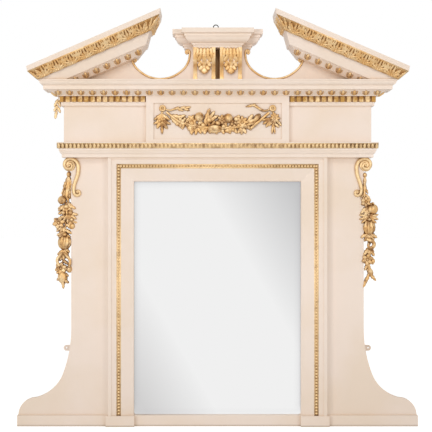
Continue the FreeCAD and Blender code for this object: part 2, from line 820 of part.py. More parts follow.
def along(front, fall, inner):
    """Distance along the slope to the plumb returned end, for a face that stands at this front depth."""
    across = size.rake_front - front
    if inner:
        across = rake_run - across
    return (across - measure(fall) * rake_sin) / rake_cos


def rake_end(inner):
    """Waste outside the returned end of a raking cornice."""
    far = rake_length + size.rake_front if inner else -size.rake_front
    points = [(far, size.spare)]
    first, last = cornice_faces[0], cornice_faces[-1]
    points.append((along(first[0], -size.spare, inner), size.spare))
    points += [(along(front, fall, inner), -measure(fall)) for front, fall in cornice_faces]
    below = rake_depth + size.spare
    points += [(along(last[0], below, inner), -below), (far, -below)]
    return points


def slope_body(label, side):
    """A body whose X axis climbs the slope from the lower tip, on the left, or falls to it, on the right."""
    body = start_body(label)
    body.Placement = FreeCAD.Placement(
        FreeCAD.Vector(rake_tip.value * side, wall.value, rake_tip_height.value),
        FreeCAD.Rotation(FreeCAD.Vector(0, side, 0), size.rake_angle.value))
    body.setExpression("Placement.Base.x", (rake_tip * side).formula)
    body.setExpression("Placement.Base.y", wall.formula)
    body.setExpression("Placement.Base.z", rake_tip_height.formula)
    body.setExpression("Placement.Rotation.Angle", "Sizes.rake_angle * 1 deg")
    return body


def slope_pad(body, side, section, start, end):
    """Pads a section given as (depth, fall) between two distances up the slope."""
    shape = forward([(p[0], -measure(p[1])) + tuple(p[2:3]) + tuple(-t for t in p[3:]) for p in section])
    left, right = span(-side, start, end)
    pad(body, draw(body, "YZ_Plane", [shape], left), right - left)


def level_seat():
    """Waste below the top of the horizontal cornice."""
    level = [(u, (u * rake_sin + size.rake_tip_rise) / rake_cos * -1) for u in (-size.rake_front, rake_run)]
    return level + [(-size.rake_front, level[1][1])]


def trim_slope(body, side, wastes):
    for waste in wastes:
        cut(body, draw(body, "XZ_Plane", [mirrored(waste, -side)]))


leaf_section = [(leaf_seat_high, fall_fillet), (fillet_low_front, fall_fillet),
                (leaf_mid_front, leaf_mid_fall, size.rake_leaf_radius, -1),
                (size.rake_leaf_low, fall_leaf, size.rake_leaf_radius, 1), (leaf_seat_low, fall_leaf)]
cornice_section = [(0, 0), (size.rake_front, 0), (fillet_low_front, fall_fillet),
                   (leaf_seat_high, fall_fillet), (leaf_seat_low, fall_leaf),
                   (size.rake_corona_front, fall_leaf),
                   (size.rake_corona_low, fall_corona), (size.rake_ovolo_front, fall_corona),
                   (size.rake_ovolo_low, rake_depth), (0, rake_depth)]
run_start, run_end = -size.rake_front, rake_length + size.rake_front
raking_eggs = []
for side, hand in SIDES:
    cornice = slope_body(f"raking_cornice_{hand}", side)
    slope_pad(cornice, side, cornice_section, run_start, run_end)
    slope_pad(cornice, side, leaf_section, run_start, size.rake_leaf_start)
    trim_slope(cornice, side, (rake_end(True), rake_end(False), level_seat()))
    strip = slope_body(f"raking_leaf_{hand}", side)
    slope_pad(strip, side, leaf_section, size.rake_leaf_start, run_end)
    trim_slope(strip, side, (rake_end(True), level_seat()))
    eggs = egg_row(f"eggs_rake_{hand}", (size.rake_ovolo_low, -rake_depth),
                   (size.rake_ovolo_front, -fall_corona), size.rake_egg_start * -side,
                   size.rake_egg_count, side > 0)
    eggs.Placement = cornice.Placement
    for path, formula in cornice.ExpressionEngine:
        eggs.setExpression(path, formula)
    trim_slope(eggs, side, (level_seat(),))
    raking_eggs.append(eggs)
group("raking_eggs", raking_eggs)

# Tympanum boards. Each scoop is a three-centred arch upside down.
scoop_low = cornice_top + size.scoop_floor
scoop_spring = scoop_low + size.scoop_rise
side_offset = size.scoop_half_width - size.scoop_side_radius
side_drop = size.scoop_rise - size.scoop_side_radius
centre_lift = (side_offset * side_offset - side_drop * side_drop) / (side_drop * 2)
floor_radius = size.scoop_rise + centre_lift
centre_span = root(side_offset * side_offset + centre_lift * centre_lift)
meet_across = floor_radius * side_offset / centre_span
meet_height = scoop_spring + centre_lift - floor_radius * centre_lift / centre_span
slope = rake_sin / rake_cos
foot_across = rake_tip - (rake_depth - size.rake_tip_rise * rake_cos) / rake_sin
tip_height = cornice_top + (foot_across - size.scoop_tip) * slope
scoop_inner = size.scoop_centre - size.scoop_half_width
tympanum_outline = [(size.console_half_width, cornice_top), (foot_across, cornice_top),
                    (size.scoop_tip, tip_height),
                    (size.scoop_centre + meet_across, meet_height, size.scoop_side_radius, -1),
                    (size.scoop_centre - meet_across, meet_height, floor_radius, -1),
                    (scoop_inner, scoop_spring, size.scoop_side_radius, -1),
                    (scoop_inner, console_top), (size.console_half_width, console_top)]
edge_share = (floor_radius + size.scoop_edge) / floor_radius
edge_meet = meet_across * edge_share
edge_meet_height = scoop_spring + centre_lift - (scoop_spring + centre_lift - meet_height) * edge_share
edge_side_radius = size.scoop_side_radius + size.scoop_edge
edge_inner = scoop_inner - size.scoop_edge
edge_tip = size.scoop_tip + size.scoop_edge
edge_outline = [(size.scoop_tip, tip_height),
                (size.scoop_centre + meet_across, meet_height, size.scoop_side_radius, -1),
                (size.scoop_centre - meet_across, meet_height, floor_radius, -1),
                (scoop_inner, scoop_spring, size.scoop_side_radius, -1),
                (edge_inner, scoop_spring),
                (size.scoop_centre - edge_meet, edge_meet_height, edge_side_radius, 1),
                (size.scoop_centre + edge_meet, edge_meet_height, floor_radius + size.scoop_edge, 1),
                (edge_tip, tip_height - size.scoop_edge * slope, edge_side_radius, 1)]
edges = []
balls = []
for side, hand in SIDES:
    board(f"tympanum_{hand}", [mirrored(tympanum_outline, side)], size.tympanum_back, size.tympanum_depth)
    edges.append(mirrored(edge_outline, side))
    balls.append(eight_sided((scoop_inner + size.scoop_ball) * side, scoop_spring, size.scoop_ball))
    balls.append(eight_sided((size.scoop_tip - size.scoop_ball) * side, tip_height - size.scoop_ball_drop,
                             size.scoop_ball))
scoop_edges = board("scoop_edges", edges, size.tympanum_depth, size.tympanum_depth + size.scoop_edge_rise)
pad(scoop_edges, draw(scoop_edges, "XZ_Plane", balls, size.tympanum_depth), size.scoop_ball_rise)

# Pedestal: backing, two consoles with a deep slot between them, and the cap that breaks forward over them
half_slot = size.console_slot / 2
board("pedestal_backing",
      [rectangle(-size.console_half_width, cornice_top, size.console_half_width, console_top)],
      0, size.pedestal_backing)
console_face = [(size.console_top_depth, console_top),
                (size.console_top_depth, console_top - size.console_block),
                (size.console_waist_depth, cornice_top + size.console_waist_height, size.console_curve, -1),
                (size.console_foot_depth, cornice_top, size.console_curve, 1)]
console_section = [(size.pedestal_backing, cornice_top), (size.pedestal_backing, console_top)] + console_face
for side, hand in SIDES:
    length_of(f"console_{hand}", console_section, *span(side, half_slot, size.console_half_width))


def proud(rise):
    """The console's curved face moved forward."""
    return [(p[0] + rise,) + tuple(p[1:]) for p in console_face]


# Gilt fillets down the consoles' edges and the leaf between them
gilt = start_body("console_gilding")
top_edge, block_edge, waist_edge, foot_edge = [point[:2] for point in proud(size.console_edge_rise)]
fillet_section = console_face + [foot_edge, waist_edge + (size.console_curve, -1),
                                 block_edge + (size.console_curve, 1), top_edge]
for side, hand in SIDES:
    for inner, outer in ((half_slot, half_slot + size.console_edge),
                         (size.console_half_width - size.console_edge, size.console_half_width)):
        left, right = span(side, inner, outer)
        pad(gilt, draw(gilt, "YZ_Plane", [forward(fillet_section)], left), right - left)

leaf = start_body("console_leaves")
leaf_middle = (half_slot + size.console_half_width) / 2
leaf_wide = size.console_leaf_half_width
leaf_foot = console_top - size.console_leaf_height
leaf_outline = [(leaf_middle - leaf_wide, console_top),
                (leaf_middle - leaf_wide, leaf_foot + leaf_wide * 1.4),
                (leaf_middle, leaf_foot, leaf_wide * 2, 1),
                (leaf_middle + leaf_wide, leaf_foot + leaf_wide * 1.4, leaf_wide * 2, 1),
                (leaf_middle + leaf_wide, console_top)]
leaf_front = size.console_top_depth + size.console_leaf_rise
pad(leaf, draw(leaf, "XZ_Plane", [mirrored(leaf_outline, side) for side, hand in SIDES],
               size.console_foot_depth), leaf_front - size.console_foot_depth)
behind = console_face + [(size.pedestal_backing, cornice_top),
                         (size.pedestal_backing, console_top + size.spare),
                         (size.console_top_depth, console_top + size.spare)]
ahead = proud(size.console_leaf_rise)
front_waste = ahead + [(leaf_front + size.spare, cornice_top), (leaf_front + size.spare, console_top)]
cut(leaf, draw(leaf, "YZ_Plane", [forward(behind)], -size.console_half_width))
cut(leaf, draw(leaf, "YZ_Plane", [forward(front_waste)], -size.console_half_width))

cap_low = console_top + size.cap_fascia
cap_cove_low = cap_low + size.cap_step
cap_cove_high = cap_cove_low + size.cap_cove
cap_band_high = cap_cove_high + size.cap_band
cap_profile = [(0, console_top), (0, cap_low), (size.cap_step, cap_low), (size.cap_step, cap_cove_low),
               (size.cap_cove_out, cap_cove_high, size.cap_cove_radius, 1),
               (size.cap_band_out, cap_cove_high), (size.cap_band_out, cap_band_high),
               (size.cap_fillet_out, cap_band_high + size.cap_fillet_rise), (size.cap_fillet_out, cap_top)]


def hanger_holes(radius):
    heights = [cap_top - size.hanger_screw_top - size.hanger_screw_pitch * step for step in (0, 1)]
    return [eight_sided(size.hanger_offset, height, radius) for height in heights]


cap_halves = []
for label, half_width, front in (("cap_break", size.console_half_width, size.console_top_depth),
                                 ("cap_setback", size.cap_half_width, size.tympanum_depth)):
    half = start_body(label)
    add_moulding(half, cap_profile, half_width, front, size.cap_back, size.cap_fillet_out)
    holes = draw(half, "XZ_Plane", hanger_holes(size.hanger_screw_radius), size.cap_back)
    cut(half, holes, size.hanger_screw_bite)
    cap_halves.append(half)
whole_cap = doc.addObject("Part::MultiFuse", "pedestal_cap")
whole_cap.Shapes = cap_halves

# Wing scrolls: a large volute, an arm and a small volute
scroll_across = wing_edge + size.scroll_out
scroll_low_across = wing_edge - size.scroll_low_in
scroll_arm_across = wing_edge - size.scroll_arm_in
scroll_height = frame_top - size.scroll_fall
scroll_low_height = scroll_height - size.scroll_low_fall
scroll_arm_height = scroll_height - size.scroll_arm_fall
arm_inner = scroll_arm_across + size.scroll_arm_width
arm_outline = [(scroll_across, scroll_height + size.scroll_radius),
               (scroll_arm_across, scroll_arm_height, size.scroll_arm_radius, 1),
               (scroll_low_across, scroll_low_height, size.scroll_arm_sweep, 1),
               (scroll_low_across + size.scroll_low_radius, scroll_low_height),
               (arm_inner, scroll_arm_height, size.scroll_arm_sweep, -1),
               (scroll_across, scroll_height + size.scroll_radius - size.scroll_arm_width,
                size.scroll_arm_radius, -1)]
volutes = []
eyes = []
for side, hand in SIDES:
    volutes.append((scroll_across * side, scroll_height, size.scroll_radius))
    volutes.append((scroll_low_across * side, scroll_low_height, size.scroll_low_radius))
    eyes += [(across, height, size.scroll_eye / 2) for across, height, radius in volutes[-2:]]
scrolls = board("wing_scrolls", [mirrored(arm_outline, side) for side, hand in SIDES], size.wing_depth,
                size.wing_depth + size.scroll_rise)
pad(scrolls, draw(scrolls, "XZ_Plane", [], size.wing_depth, volutes), size.scroll_rise)
pad(scrolls, draw(scrolls, "XZ_Plane", [], size.wing_depth + size.scroll_rise, eyes), size.scroll_eye_rise)

# Rosettes that the tablet's swag hangs from
rosette_height = lower_cornice_top + size.rosette_height + size.field_low


def rosette_outlines(radius):
    return [eight_sided(size.rosette_across * side, rosette_height, radius) for side, hand in SIDES]


rosette_front = field_depth + size.rosette_rise
rosette = board("tablet_rosettes", rosette_outlines(size.rosette_radius), field_depth, rosette_front)
eyes = draw(rosette, "XZ_Plane", rosette_outlines(size.rosette_eye), rosette_front)
pad(rosette, eyes, size.rosette_eye_rise)


def place(thing, across, depth, height, turn):
    """Stands a primitive at a depth in front of the wall and keeps it there as the sheet changes."""
    thing.Placement = FreeCAD.Placement(FreeCAD.Vector(), turn)
    thing.setExpression("Placement.Base.x", measure(across).formula)
    thing.setExpression("Placement.Base.y", (wall - depth).formula)
    thing.setExpression("Placement.Base.z", measure(height).formula)
    return thing


def carving_ring(radius, level):
    """The corners of a carving's many-sided ring, the first one given again at the end."""
    sides = round(size.carving_sides.value)
    turns = [2 * math.pi * step / sides for step in range(sides + 1)]
    return [FreeCAD.Vector(radius * math.cos(turn), radius * math.sin(turn), level) for turn in turns]


def bud(label, across, depth, height, radius, length, lean):
    """A many-sided carved bud, fruit or leaf, thickest in the middle, on a leaning axis."""
    nose = radius * size.carving_nose.value
    rings = [carving_ring(nose, -length / 2), carving_ring(radius, 0), carving_ring(nose, length / 2)]
    outlines = [rings[0], rings[-1]]
    for low, high in zip(rings, rings[1:]):
        for step in range(len(low) - 1):
            outlines.append([low[step], low[step + 1], high[step + 1], high[step], low[step]])
    faces = [Part.Face(Part.makePolygon(outline)) for outline in outlines]
    lump = doc.addObject("Part::Feature", f"{label}_bud")
    lump.Shape = Part.Solid(Part.Shell(faces))
    return place(lump, across, depth, height, FreeCAD.Rotation(FreeCAD.Vector(0, 1, 0), lean))


def carved(label, buds, seats):
    """Fuses a carving's buds and cuts them back to each of the things that they sit on or against."""
    carving = doc.addObject("Part::MultiFuse", f"{label}_whole")
    carving.Shapes = buds
    for seat in seats:
        fitted = doc.addObject("Part::Cut", label if seat is seats[-1] else f"{label}_whole")
        fitted.Base = carving
        fitted.Tool = seat
        carving = fitted
    return carving


def backing_box(label, left, right, low, high, front):
    """The room behind a carving, from the wall forward to its seat."""
    box = doc.addObject("Part::Box", f"{label}_whole")
    box.setExpression("Length", (measure(right) - left).formula)
    box.setExpression("Width", measure(front).formula)
    box.setExpression("Height", (measure(high) - low).formula)
    return place(box, left, front, low, FreeCAD.Rotation())


# Garlands: buds down the wing's outer edge, as (out from the edge, height, radius, length, lean)
GARLANDS = {
    "left": ((9, 984, 12, 66, 8), (36, 950, 9, 60, 20), (30, 906, 17, 36, 10), (14, 890, 14, 40, -12),
             (2, 842, 21, 58, -15), (42, 820, 19, 38, 35), (22, 795, 16, 44, 5), (28, 738, 31, 62, 0),
             (30, 690, 15, 54, 10), (12, 668, 11, 58, -14), (42, 664, 10, 46, 16), (28, 636, 25, 40, 0),
             (30, 596, 17, 46, 0), (27, 566, 8, 40, 0)),
    "right": ((8, 978, 10, 72, -4), (26, 936, 14, 66, -14), (8, 900, 14, 32, 0), (38, 874, 21, 44, -20),
              (10, 862, 13, 50, 10), (16, 842, 12, 62, 60), (22, 794, 27, 68, 0), (16, 748, 11, 44, 20),
              (30, 726, 20, 44, -25), (14, 696, 11, 50, 10), (20, 664, 22, 40, 30), (16, 630, 12, 50, 0),
              (32, 618, 7, 46, -50), (12, 588, 9, 66, 12)),
}
for side, hand in SIDES:
    label = f"garland_{hand}"
    buds = [bud(label, (wing_edge + out) * side, size.garland_depth, measure(height), radius, length,
                lean * side) for out, height, radius, length, lean in GARLANDS[hand]]
    carved(label, buds, [wings[hand]])

# Tablet swag and its drops and ribbons, as (across, height over the tablet's foot, radius, length, lean)
TABLET_CARVINGS = {
    "tablet_swag": ((-188, 108, 8, 60, -55), (-160, 88, 17, 60, -60), (-138, 72, 18, 44, -40),
                    (-112, 66, 15, 50, -70), (-84, 92, 19, 46, 0), (-70, 66, 17, 52, -60),
                    (-38, 60, 17, 60, -80), (-22, 86, 22, 66, 40), (-10, 54, 24, 60, 90),
                    (26, 82, 20, 56, -30), (44, 84, 18, 40, 20),
                    (50, 60, 15, 60, 80), (78, 62, 17, 48, 70), (104, 74, 20, 44, 20), (136, 86, 17, 56, 60),
                    (162, 90, 13, 66, 48), (192, 110, 7, 60, 52)),
    "tablet_drops": ((-222, 92, 12, 46, 0), (-230, 76, 12, 44, 25), (-214, 74, 12, 44, -25),
                     (-221, 52, 8, 50, 0), (224, 92, 13, 46, 0), (206, 82, 12, 44, 60),
                     (236, 78, 10, 44, -20), (222, 54, 7, 56, 0)),
    "tablet_ribbons": ((-190, 136, 6, 34, 80), (-172, 136, 8, 40, 80), (-146, 134, 9, 40, 95),
                       (-122, 134, 5, 30, 90), (190, 134, 6, 40, -70), (170, 140, 7, 42, -60),
                       (146, 144, 8, 40, -100), (122, 142, 5, 32, 80)),
}
seats = [backing_box("tablet", -size.tablet_half_width, size.tablet_half_width, lower_cornice_top, frieze_top,
                     field_depth), rosette]
for label, pieces in TABLET_CARVINGS.items():
    buds = [bud(label, measure(across), field_depth, lower_cornice_top + height, radius, length, lean)
            for across, height, radius, length, lean in pieces]
    seats = seats + [carved(label, buds, seats)]

# Leaf spray on the last dentil of the left return
spray_seat = size.frieze_half_width + size.dentil_out
spray_depth = size.frieze_depth + size.dentil_out - return_pitch - size.dentil_width / 2
LEAF_SPRAY = ((2, 168, 7, 40, 20), (12, 138, 9, 46, 30), (4, 126, 8, 50, -10), (16, 112, 6, 36, 10))
buds = [bud("leaf_spray", -spray_seat - out, spray_depth, lower_cornice_top + height, radius, length, lean)
        for out, height, radius, length, lean in LEAF_SPRAY]
spray_box = backing_box("leaf_spray", -spray_seat, 0, lower_cornice_top, egg_bed_top, tablet_front)
carved("leaf_spray", buds, [spray_box])

# Wall lugs let into the battens
lug_round = (size.lug_high - size.lug_low) / 2
lug_middle = (size.lug_high + size.lug_low) / 2
lug_outline = [(lug_inner, size.lug_low), (lug_hole_across, size.lug_low),
               (lug_hole_across + lug_round, lug_middle, lug_round, 1),
               (lug_hole_across, size.lug_high, lug_round, 1), (lug_inner, size.lug_high)]
lug_holes = [(lug_hole_across * side, lug_middle, size.lug_hole_radius) for side, hand in SIDES]
board("wall_lugs", [mirrored(lug_outline, side) for side, hand in SIDES], 0, size.lug_thickness, lug_holes)

# Hanger: a strap with a knuckle, screwed to the cap's back, and the ring that swings in it
strap_back = size.cap_back - size.hanger_strap_thickness
ring_depth = strap_back - size.ring_wire - size.ring_stand_off
ring_height = cap_top + size.hanger_axis_rise
half_strap = size.hanger_strap_width / 2
strap_outline = rectangle(size.hanger_offset - half_strap, cap_top - size.hanger_strap_length,
                          size.hanger_offset + half_strap, ring_height)
strap_outlines = [strap_outline] + hanger_holes(size.hanger_screw_radius)
strap = board("hanger_strap", strap_outlines, strap_back, size.cap_back)
knuckle_left = size.hanger_offset - size.hanger_knuckle_length / 2
knuckle = draw(strap, "YZ_Plane", [], knuckle_left, [(-ring_depth, ring_height, size.hanger_knuckle_radius)])
pad(strap, knuckle, size.hanger_knuckle_length)
bore_radius = size.ring_wire + size.ring_clearance
bore = draw(strap, "YZ_Plane", [], knuckle_left, [(-ring_depth, ring_height, bore_radius)])
cut(strap, bore, size.hanger_knuckle_length)
screws = board("hanger_screws", hanger_holes(size.hanger_screw_radius), strap_back,
               size.cap_back + size.hanger_screw_bite)
pad(screws, draw(screws, "XZ_Plane", hanger_holes(size.hanger_screw_head),
                 strap_back - size.hanger_screw_head_rise), size.hanger_screw_head_rise)


WIRE_SIDES = 8


def wire(across, height, long, turn):
    """A straight, eight-sided length of the ring's wire."""
    rod = doc.addObject("Part::Prism", "ring_whole")
    rod.Polygon = WIRE_SIDES
    rod.setExpression("Circumradius", "Sizes.ring_wire")
    rod.setExpression("Height", measure(long).formula)
    return place(rod, size.hanger_offset + across, ring_depth, height, turn)


half_bar = size.ring_half_width + size.ring_wire
ring_pieces = [wire(-half_bar, ring_height, half_bar * 2, FreeCAD.Rotation(FreeCAD.Vector(0, 1, 0), 90))]
for side, hand in SIDES:
    ring_pieces.append(wire(size.ring_half_width * side, ring_height, size.ring_side, FreeCAD.Rotation()))
arch_height = ring_height + size.ring_side
arch_end = doc.addObject("Part::RegularPolygon", "ring_whole")
arch_end.Polygon = WIRE_SIDES
arch_end.setExpression("Circumradius", "Sizes.ring_wire")
place(arch_end, size.hanger_offset + size.ring_half_width, ring_depth, arch_height, FreeCAD.Rotation())
arch = doc.addObject("Part::Revolution", "ring_whole")
arch.Source = arch_end
arch.Axis = FreeCAD.Vector(0, -1, 0)
arch.setExpression("Base.x", size.hanger_offset.formula)
arch.setExpression("Base.y", (wall - ring_depth).formula)
arch.setExpression("Base.z", arch_height.formula)
arch.Angle = 180
arch.Solid = True
ring_pieces.append(arch)
ring = doc.addObject("Part::MultiFuse", "hanger_ring")
ring.Shapes = ring_pieces

doc.recompute()

faults = []
for thing in doc.Objects:
    if "Invalid" in thing.State or "Error" in thing.State:
        owner = thing.getParentGeoFeatureGroup()
        faults.append(f"{owner.Label if owner else ''} {thing.Label} {thing.State}")
if faults:
    raise RuntimeError("did not build: " + "; ".join(faults))

# Pieces of a node, which are not nodes themselves
WITHIN = ("eggs_", "cap_break", "cap_setback")
os.makedirs("parts", exist_ok=True)
for thing in doc.Objects:
    whole = thing.TypeId in ("PartDesign::Body", "Part::Compound", "Part::Cut", "Part::MultiFuse")
    if not whole or thing.Name.startswith(WITHIN) or "_whole" in thing.Name:
        continue
    if thing.Shape.isNull() or not thing.Shape.isValid() or not thing.Shape.Solids:
        raise RuntimeError(f"{thing.Name} has no sound solid")
    thing.Label = thing.Name
    thing.Shape.exportStep(f"parts/{thing.Name}.step")
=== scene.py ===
"""An overmantel mirror in cream paint and gilding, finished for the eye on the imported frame."""

import json
import math
from functools import partial
from types import SimpleNamespace

import bmesh
import bpy
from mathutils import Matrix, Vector

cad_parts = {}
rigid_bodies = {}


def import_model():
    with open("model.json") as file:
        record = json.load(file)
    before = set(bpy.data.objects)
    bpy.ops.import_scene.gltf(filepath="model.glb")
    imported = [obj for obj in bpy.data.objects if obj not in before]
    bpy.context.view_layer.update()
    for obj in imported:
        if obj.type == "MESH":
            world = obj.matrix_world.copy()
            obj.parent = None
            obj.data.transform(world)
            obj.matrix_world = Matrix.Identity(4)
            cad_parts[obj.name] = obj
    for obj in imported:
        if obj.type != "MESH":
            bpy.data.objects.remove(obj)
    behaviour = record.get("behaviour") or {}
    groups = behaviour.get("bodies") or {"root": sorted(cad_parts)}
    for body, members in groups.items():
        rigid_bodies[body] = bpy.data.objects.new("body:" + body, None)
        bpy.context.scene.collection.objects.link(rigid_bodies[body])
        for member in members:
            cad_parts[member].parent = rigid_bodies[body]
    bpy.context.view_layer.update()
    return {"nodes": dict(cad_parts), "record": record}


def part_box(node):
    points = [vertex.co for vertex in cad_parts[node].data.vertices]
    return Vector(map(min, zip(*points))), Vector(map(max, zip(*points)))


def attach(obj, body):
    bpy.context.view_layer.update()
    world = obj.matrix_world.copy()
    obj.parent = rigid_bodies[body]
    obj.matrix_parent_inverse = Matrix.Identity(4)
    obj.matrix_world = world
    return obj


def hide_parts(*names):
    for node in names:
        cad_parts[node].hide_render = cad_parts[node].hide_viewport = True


bl_info = {
    "name": "Overmantel mirror",
    "version": (1, 0, 0),
    "blender": (4, 5, 0),
    "location": "View3D > Sidebar > Overmantel",
    "description": "Carves, gilds, paints and stages an overmantel mirror with a broken pediment",
    "category": "Object",
}

for item in list(bpy.data.objects):
    bpy.data.objects.remove(item)
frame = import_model()

MM = 0.001
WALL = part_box("back_rail")[1].y
BODY = "frame"
SIDES = {"left": -1, "right": 1}
WHITE = (1.0, 1.0, 1.0, 1.0)


def linear(code):
    """The linear colour of an sRGB hex code."""
    parts = [int(code[start:start + 2], 16) / 255 for start in (1, 3, 5)]
    return [part / 12.92 if part <= 0.04045 else ((part + 0.055) / 1.055) ** 2.4 for part in parts]


def number(name, description, default, **kind):
    return bpy.props.FloatProperty(name=name, description=description, default=default, **kind)


def numbers(name, description, default, **kind):
    return bpy.props.FloatVectorProperty(name=name, description=description, default=default, **kind)


def colour(name, description, code):
    return numbers(name, description, linear(code), size=3, subtype="COLOR", min=0.0, max=1.0)


def angle(name, description, degrees):
    return number(name, description, math.radians(degrees), subtype="ANGLE")


length = partial(number, unit="LENGTH")
power = partial(number, unit="POWER")
share = partial(number, subtype="FACTOR")
pair = partial(numbers, size=2, unit="LENGTH")
position = partial(numbers, size=3, subtype="TRANSLATION", unit="LENGTH")


class OvermantelColours(bpy.types.PropertyGroup):
    """The colours of the finishes."""
    cream: colour("Cream", "Cream oil paint where it is clean", "#F5E4D6")
    cream_old: colour("Yellowed cream", "The same paint where it has yellowed", "#F1DECB")
    # Painted shade: a warm brown laid into the corners of the mouldings, wherever the occlusion mask finds a
    # recess
    corner_shade: colour("Dirt", "Dust and old varnish in the corners of the mouldings", "#DDC3A4")
    # Scuffs and painted shade together: this colour darkens the paint toward the bottom and lays a painted shadow
    # with scuffs along the foot
    foot_scuff_and_shade: colour("Scuffs", "Grime rubbed into the paint toward its foot", "#8C7E70")
    gold: colour("Gold leaf", "Gold leaf where it is whole", "#DCB074")
    gold_pale: colour("Rubbed gold", "Gold leaf rubbed thin and pale", "#E9CA9A")
    gold_dull: colour("Dull gold", "Gold leaf under old varnish, on the dentils", "#B48843")
    # The brown clay shows in the spots rubbed bare, and the same brown is the painted shade in the gilding's
    # hollows
    bole_and_hollow_shade: colour("Bole", "The brown-red clay under the leaf, seen in its hollows", "#7C4A1E")
    pine: colour("Pine", "Bare pine on the back", "#C9A77A")
    pine_late: colour("Late wood", "The darker lines of the pine's grain", "#9E7448")
    silver: colour("Silvering", "The looking glass where its silvering is clear", "#F0F0F0")
    # Painted reflection: these two greys stand in for the surroundings seen in the glass toward its upper right
    # and lower left corners
    painted_reflection_upper_right: colour("Upper bloom", "The looking glass toward its upper right corner", "#C8C8C9")
    painted_reflection_lower_left: colour("Lower bloom", "The looking glass toward its lower left corner", "#D1D0D0")
    # Painted shade: the grey laid along the glass where the frame stands over it
    painted_edge_shade: colour("Edge bloom", "The looking glass along its upper and side edges", "#A8A8AA")
    brass: colour("Brass", "Dull brass of the hanging strap", "#9C7B45")
    brass_dark: colour("Tarnished brass", "Brass of the hanging ring, gone nearly black", "#3A3226")
    iron: colour("Iron", "Blackened iron of the screws", "#2E2C2B")
    floor: colour("Floor", "The pale floor", "#EFEEEC")


class OvermantelCarving(bpy.types.PropertyGroup):
    """The sizes of the carved and gilt ornament."""
    bead_pitch: length("Bead pitch", "From bead to bead on the strips round the glass", 0.0122)
    bead_radius: length("Bead radius", "Half the width of a bead", 0.0056)
    bead_lip: length("Bead lip", "Height of the lips along a bead strip", 0.0016)
    small_leaf_pitch: length("Small leaf pitch", "From leaf to leaf on the lower cornice", 0.0158)
    clump_pitch: length("Clump pitch", "From leaf clump to leaf clump on the raking cornices", 0.057)
    egg_pitch: length("Egg pitch", "From egg to egg on the cornices", 0.0453)
    raking_egg_start: length("First raking egg", "From the cornice's tip to its first egg, up the slope", 0.152)
    raking_egg_count: bpy.props.IntProperty(name="Raking eggs", description="Eggs on a raking cornice", default=7)
    strand: length("Scroll strand", "Half the width of the wing scrolls' strand", 0.0082)
    scoop_strand: length("Scoop strand", "Half the width of the strand round the scoops", 0.0042)
    garland_ground: length("Garlands' ground", "From a garland's back to the root of its leaves", 0.022)
    spray_ground: length("Spray's ground", "From the spray's back to the root of its leaves", 0.004)
    notch: share("Notch", "How deep the lobes of a leaf are cut", 0.34)
    vein: share("Vein", "How strongly the lobes of a leaf are modelled", 0.4)


class OvermantelMouldings(bpy.types.PropertyGroup):
    """The places of the carved faces on the mouldings."""
    lower_leaf_lean: length("Lower leaves' lean", "How far the lower cornice's leaves lean out", 0.007)
    egg_foot: pair("Foot of the level eggs", "Out from the frieze and up from the bed's foot", (0.024, 0.003))
    egg_head: pair("Head of the level eggs", "Out from the frieze and up from the bed's foot", (0.058, 0.022))
    rake: angle("Rake", "Slope of the raking cornices", 23.4)
    raking_egg_foot: pair("Foot of the raking eggs", "Square below the top, out from the wall", (0.125, 0.112))
    raking_egg_head: pair("Head of the raking eggs", "Square below the top, out from the wall", (0.100, 0.143))
    raking_leaf_foot: pair("Foot of the raking leaves", "Square below the top, out from the wall", (0.059, 0.170))
    raking_leaf_head: pair("Head of the raking leaves", "Square below the top, out from the wall", (0.019, 0.204))
    scoop_centre: length("Scoop's centre", "From the mirror's middle to the middle of a scoop", 0.229)
    scoop_spring: length("Scoop's spring", "From the tympanum's foot to the centres of a scoop's sides", 0.110)
    scoop_floor: length("Scoop's floor", "From the tympanum's foot to a scoop's lowest place", 0.015)
    scoop_half_width: length("Scoop's half width", "Half of a scoop's width", 0.113)
    scoop_side_radius: length("Scoop's side radius", "Radius of a scoop's sides", 0.080)
    scoop_floor_radius: length("Scoop's floor radius", "Radius of a scoop's floor", 0.1238)
    scoop_meet: angle("Scoop's meeting", "Where a scoop's sides meet its floor, below level", 41.2)
    scoop_tip: angle("Scoop's tip", "Where a scoop's outer side stops, below level", 16.8)
    scoop_lift: length("Scoop's lift", "From the spring to the centre of the curl at the pedestal", 0.009)
    scoop_curl: length("Scoop's curl", "Radius of the curls at a scoop's ends", 0.008)
    console_shoulder: length("Console's shoulder", "From a console's top to where it begins to fall back", 0.026)
    console_waist: length("Console's waist", "From a console's top to where it has fallen back", 0.073)
    console_fall: length("Console's fall", "How far a console's face falls back", 0.016)


class OvermantelStage(bpy.types.PropertyGroup):
    """Camera, floor and light."""
    eye: position("Eye", "Place of the camera", (-0.070, -4.896, 0.846))
    lens: number("Lens", "Focal length in millimetres", 102.4, unit="CAMERA")
    sensor: number("Sensor", "Width of the camera's sensor in millimetres", 36.0, unit="CAMERA")
    shift: number("Shift", "Sideways shift that frames the object", 0.0368)
    aim: position("Lamps' aim", "Where the lamps point", (0.0, 0.0, 1.0))
    key: power("Key lamp", "Power of the wide lamp on the left", 49.0)
    key_place: position("Key lamp's place", "Place of the lamp on the left", (-2.8, -4.3, 1.25))
    fill: power("Fill lamp", "Power of the wide lamp on the right", 32.0)
    fill_place: position("Fill lamp's place", "Place of the lamp on the right", (2.8, -4.3, 1.25))
    top: power("Top lamp", "Power of the wide lamp above", 42.0)
    top_place: position("Top lamp's place", "Place of the lamp above", (-0.4, -4.3, 3.6))
    lamp_width: length("Lamp width", "Width of each lamp", 1.6)
    ambient: share("Ambient", "Light of the white surroundings", 0.5)
    floor_reach: length("Floor's reach", "Half of the floor's width", 40.0)
    floor_glow: share("Floor glow", "Whiteness added to the floor as the camera sees it", 0.62)


# Places in millimetres: across, depth in front of the wall, height

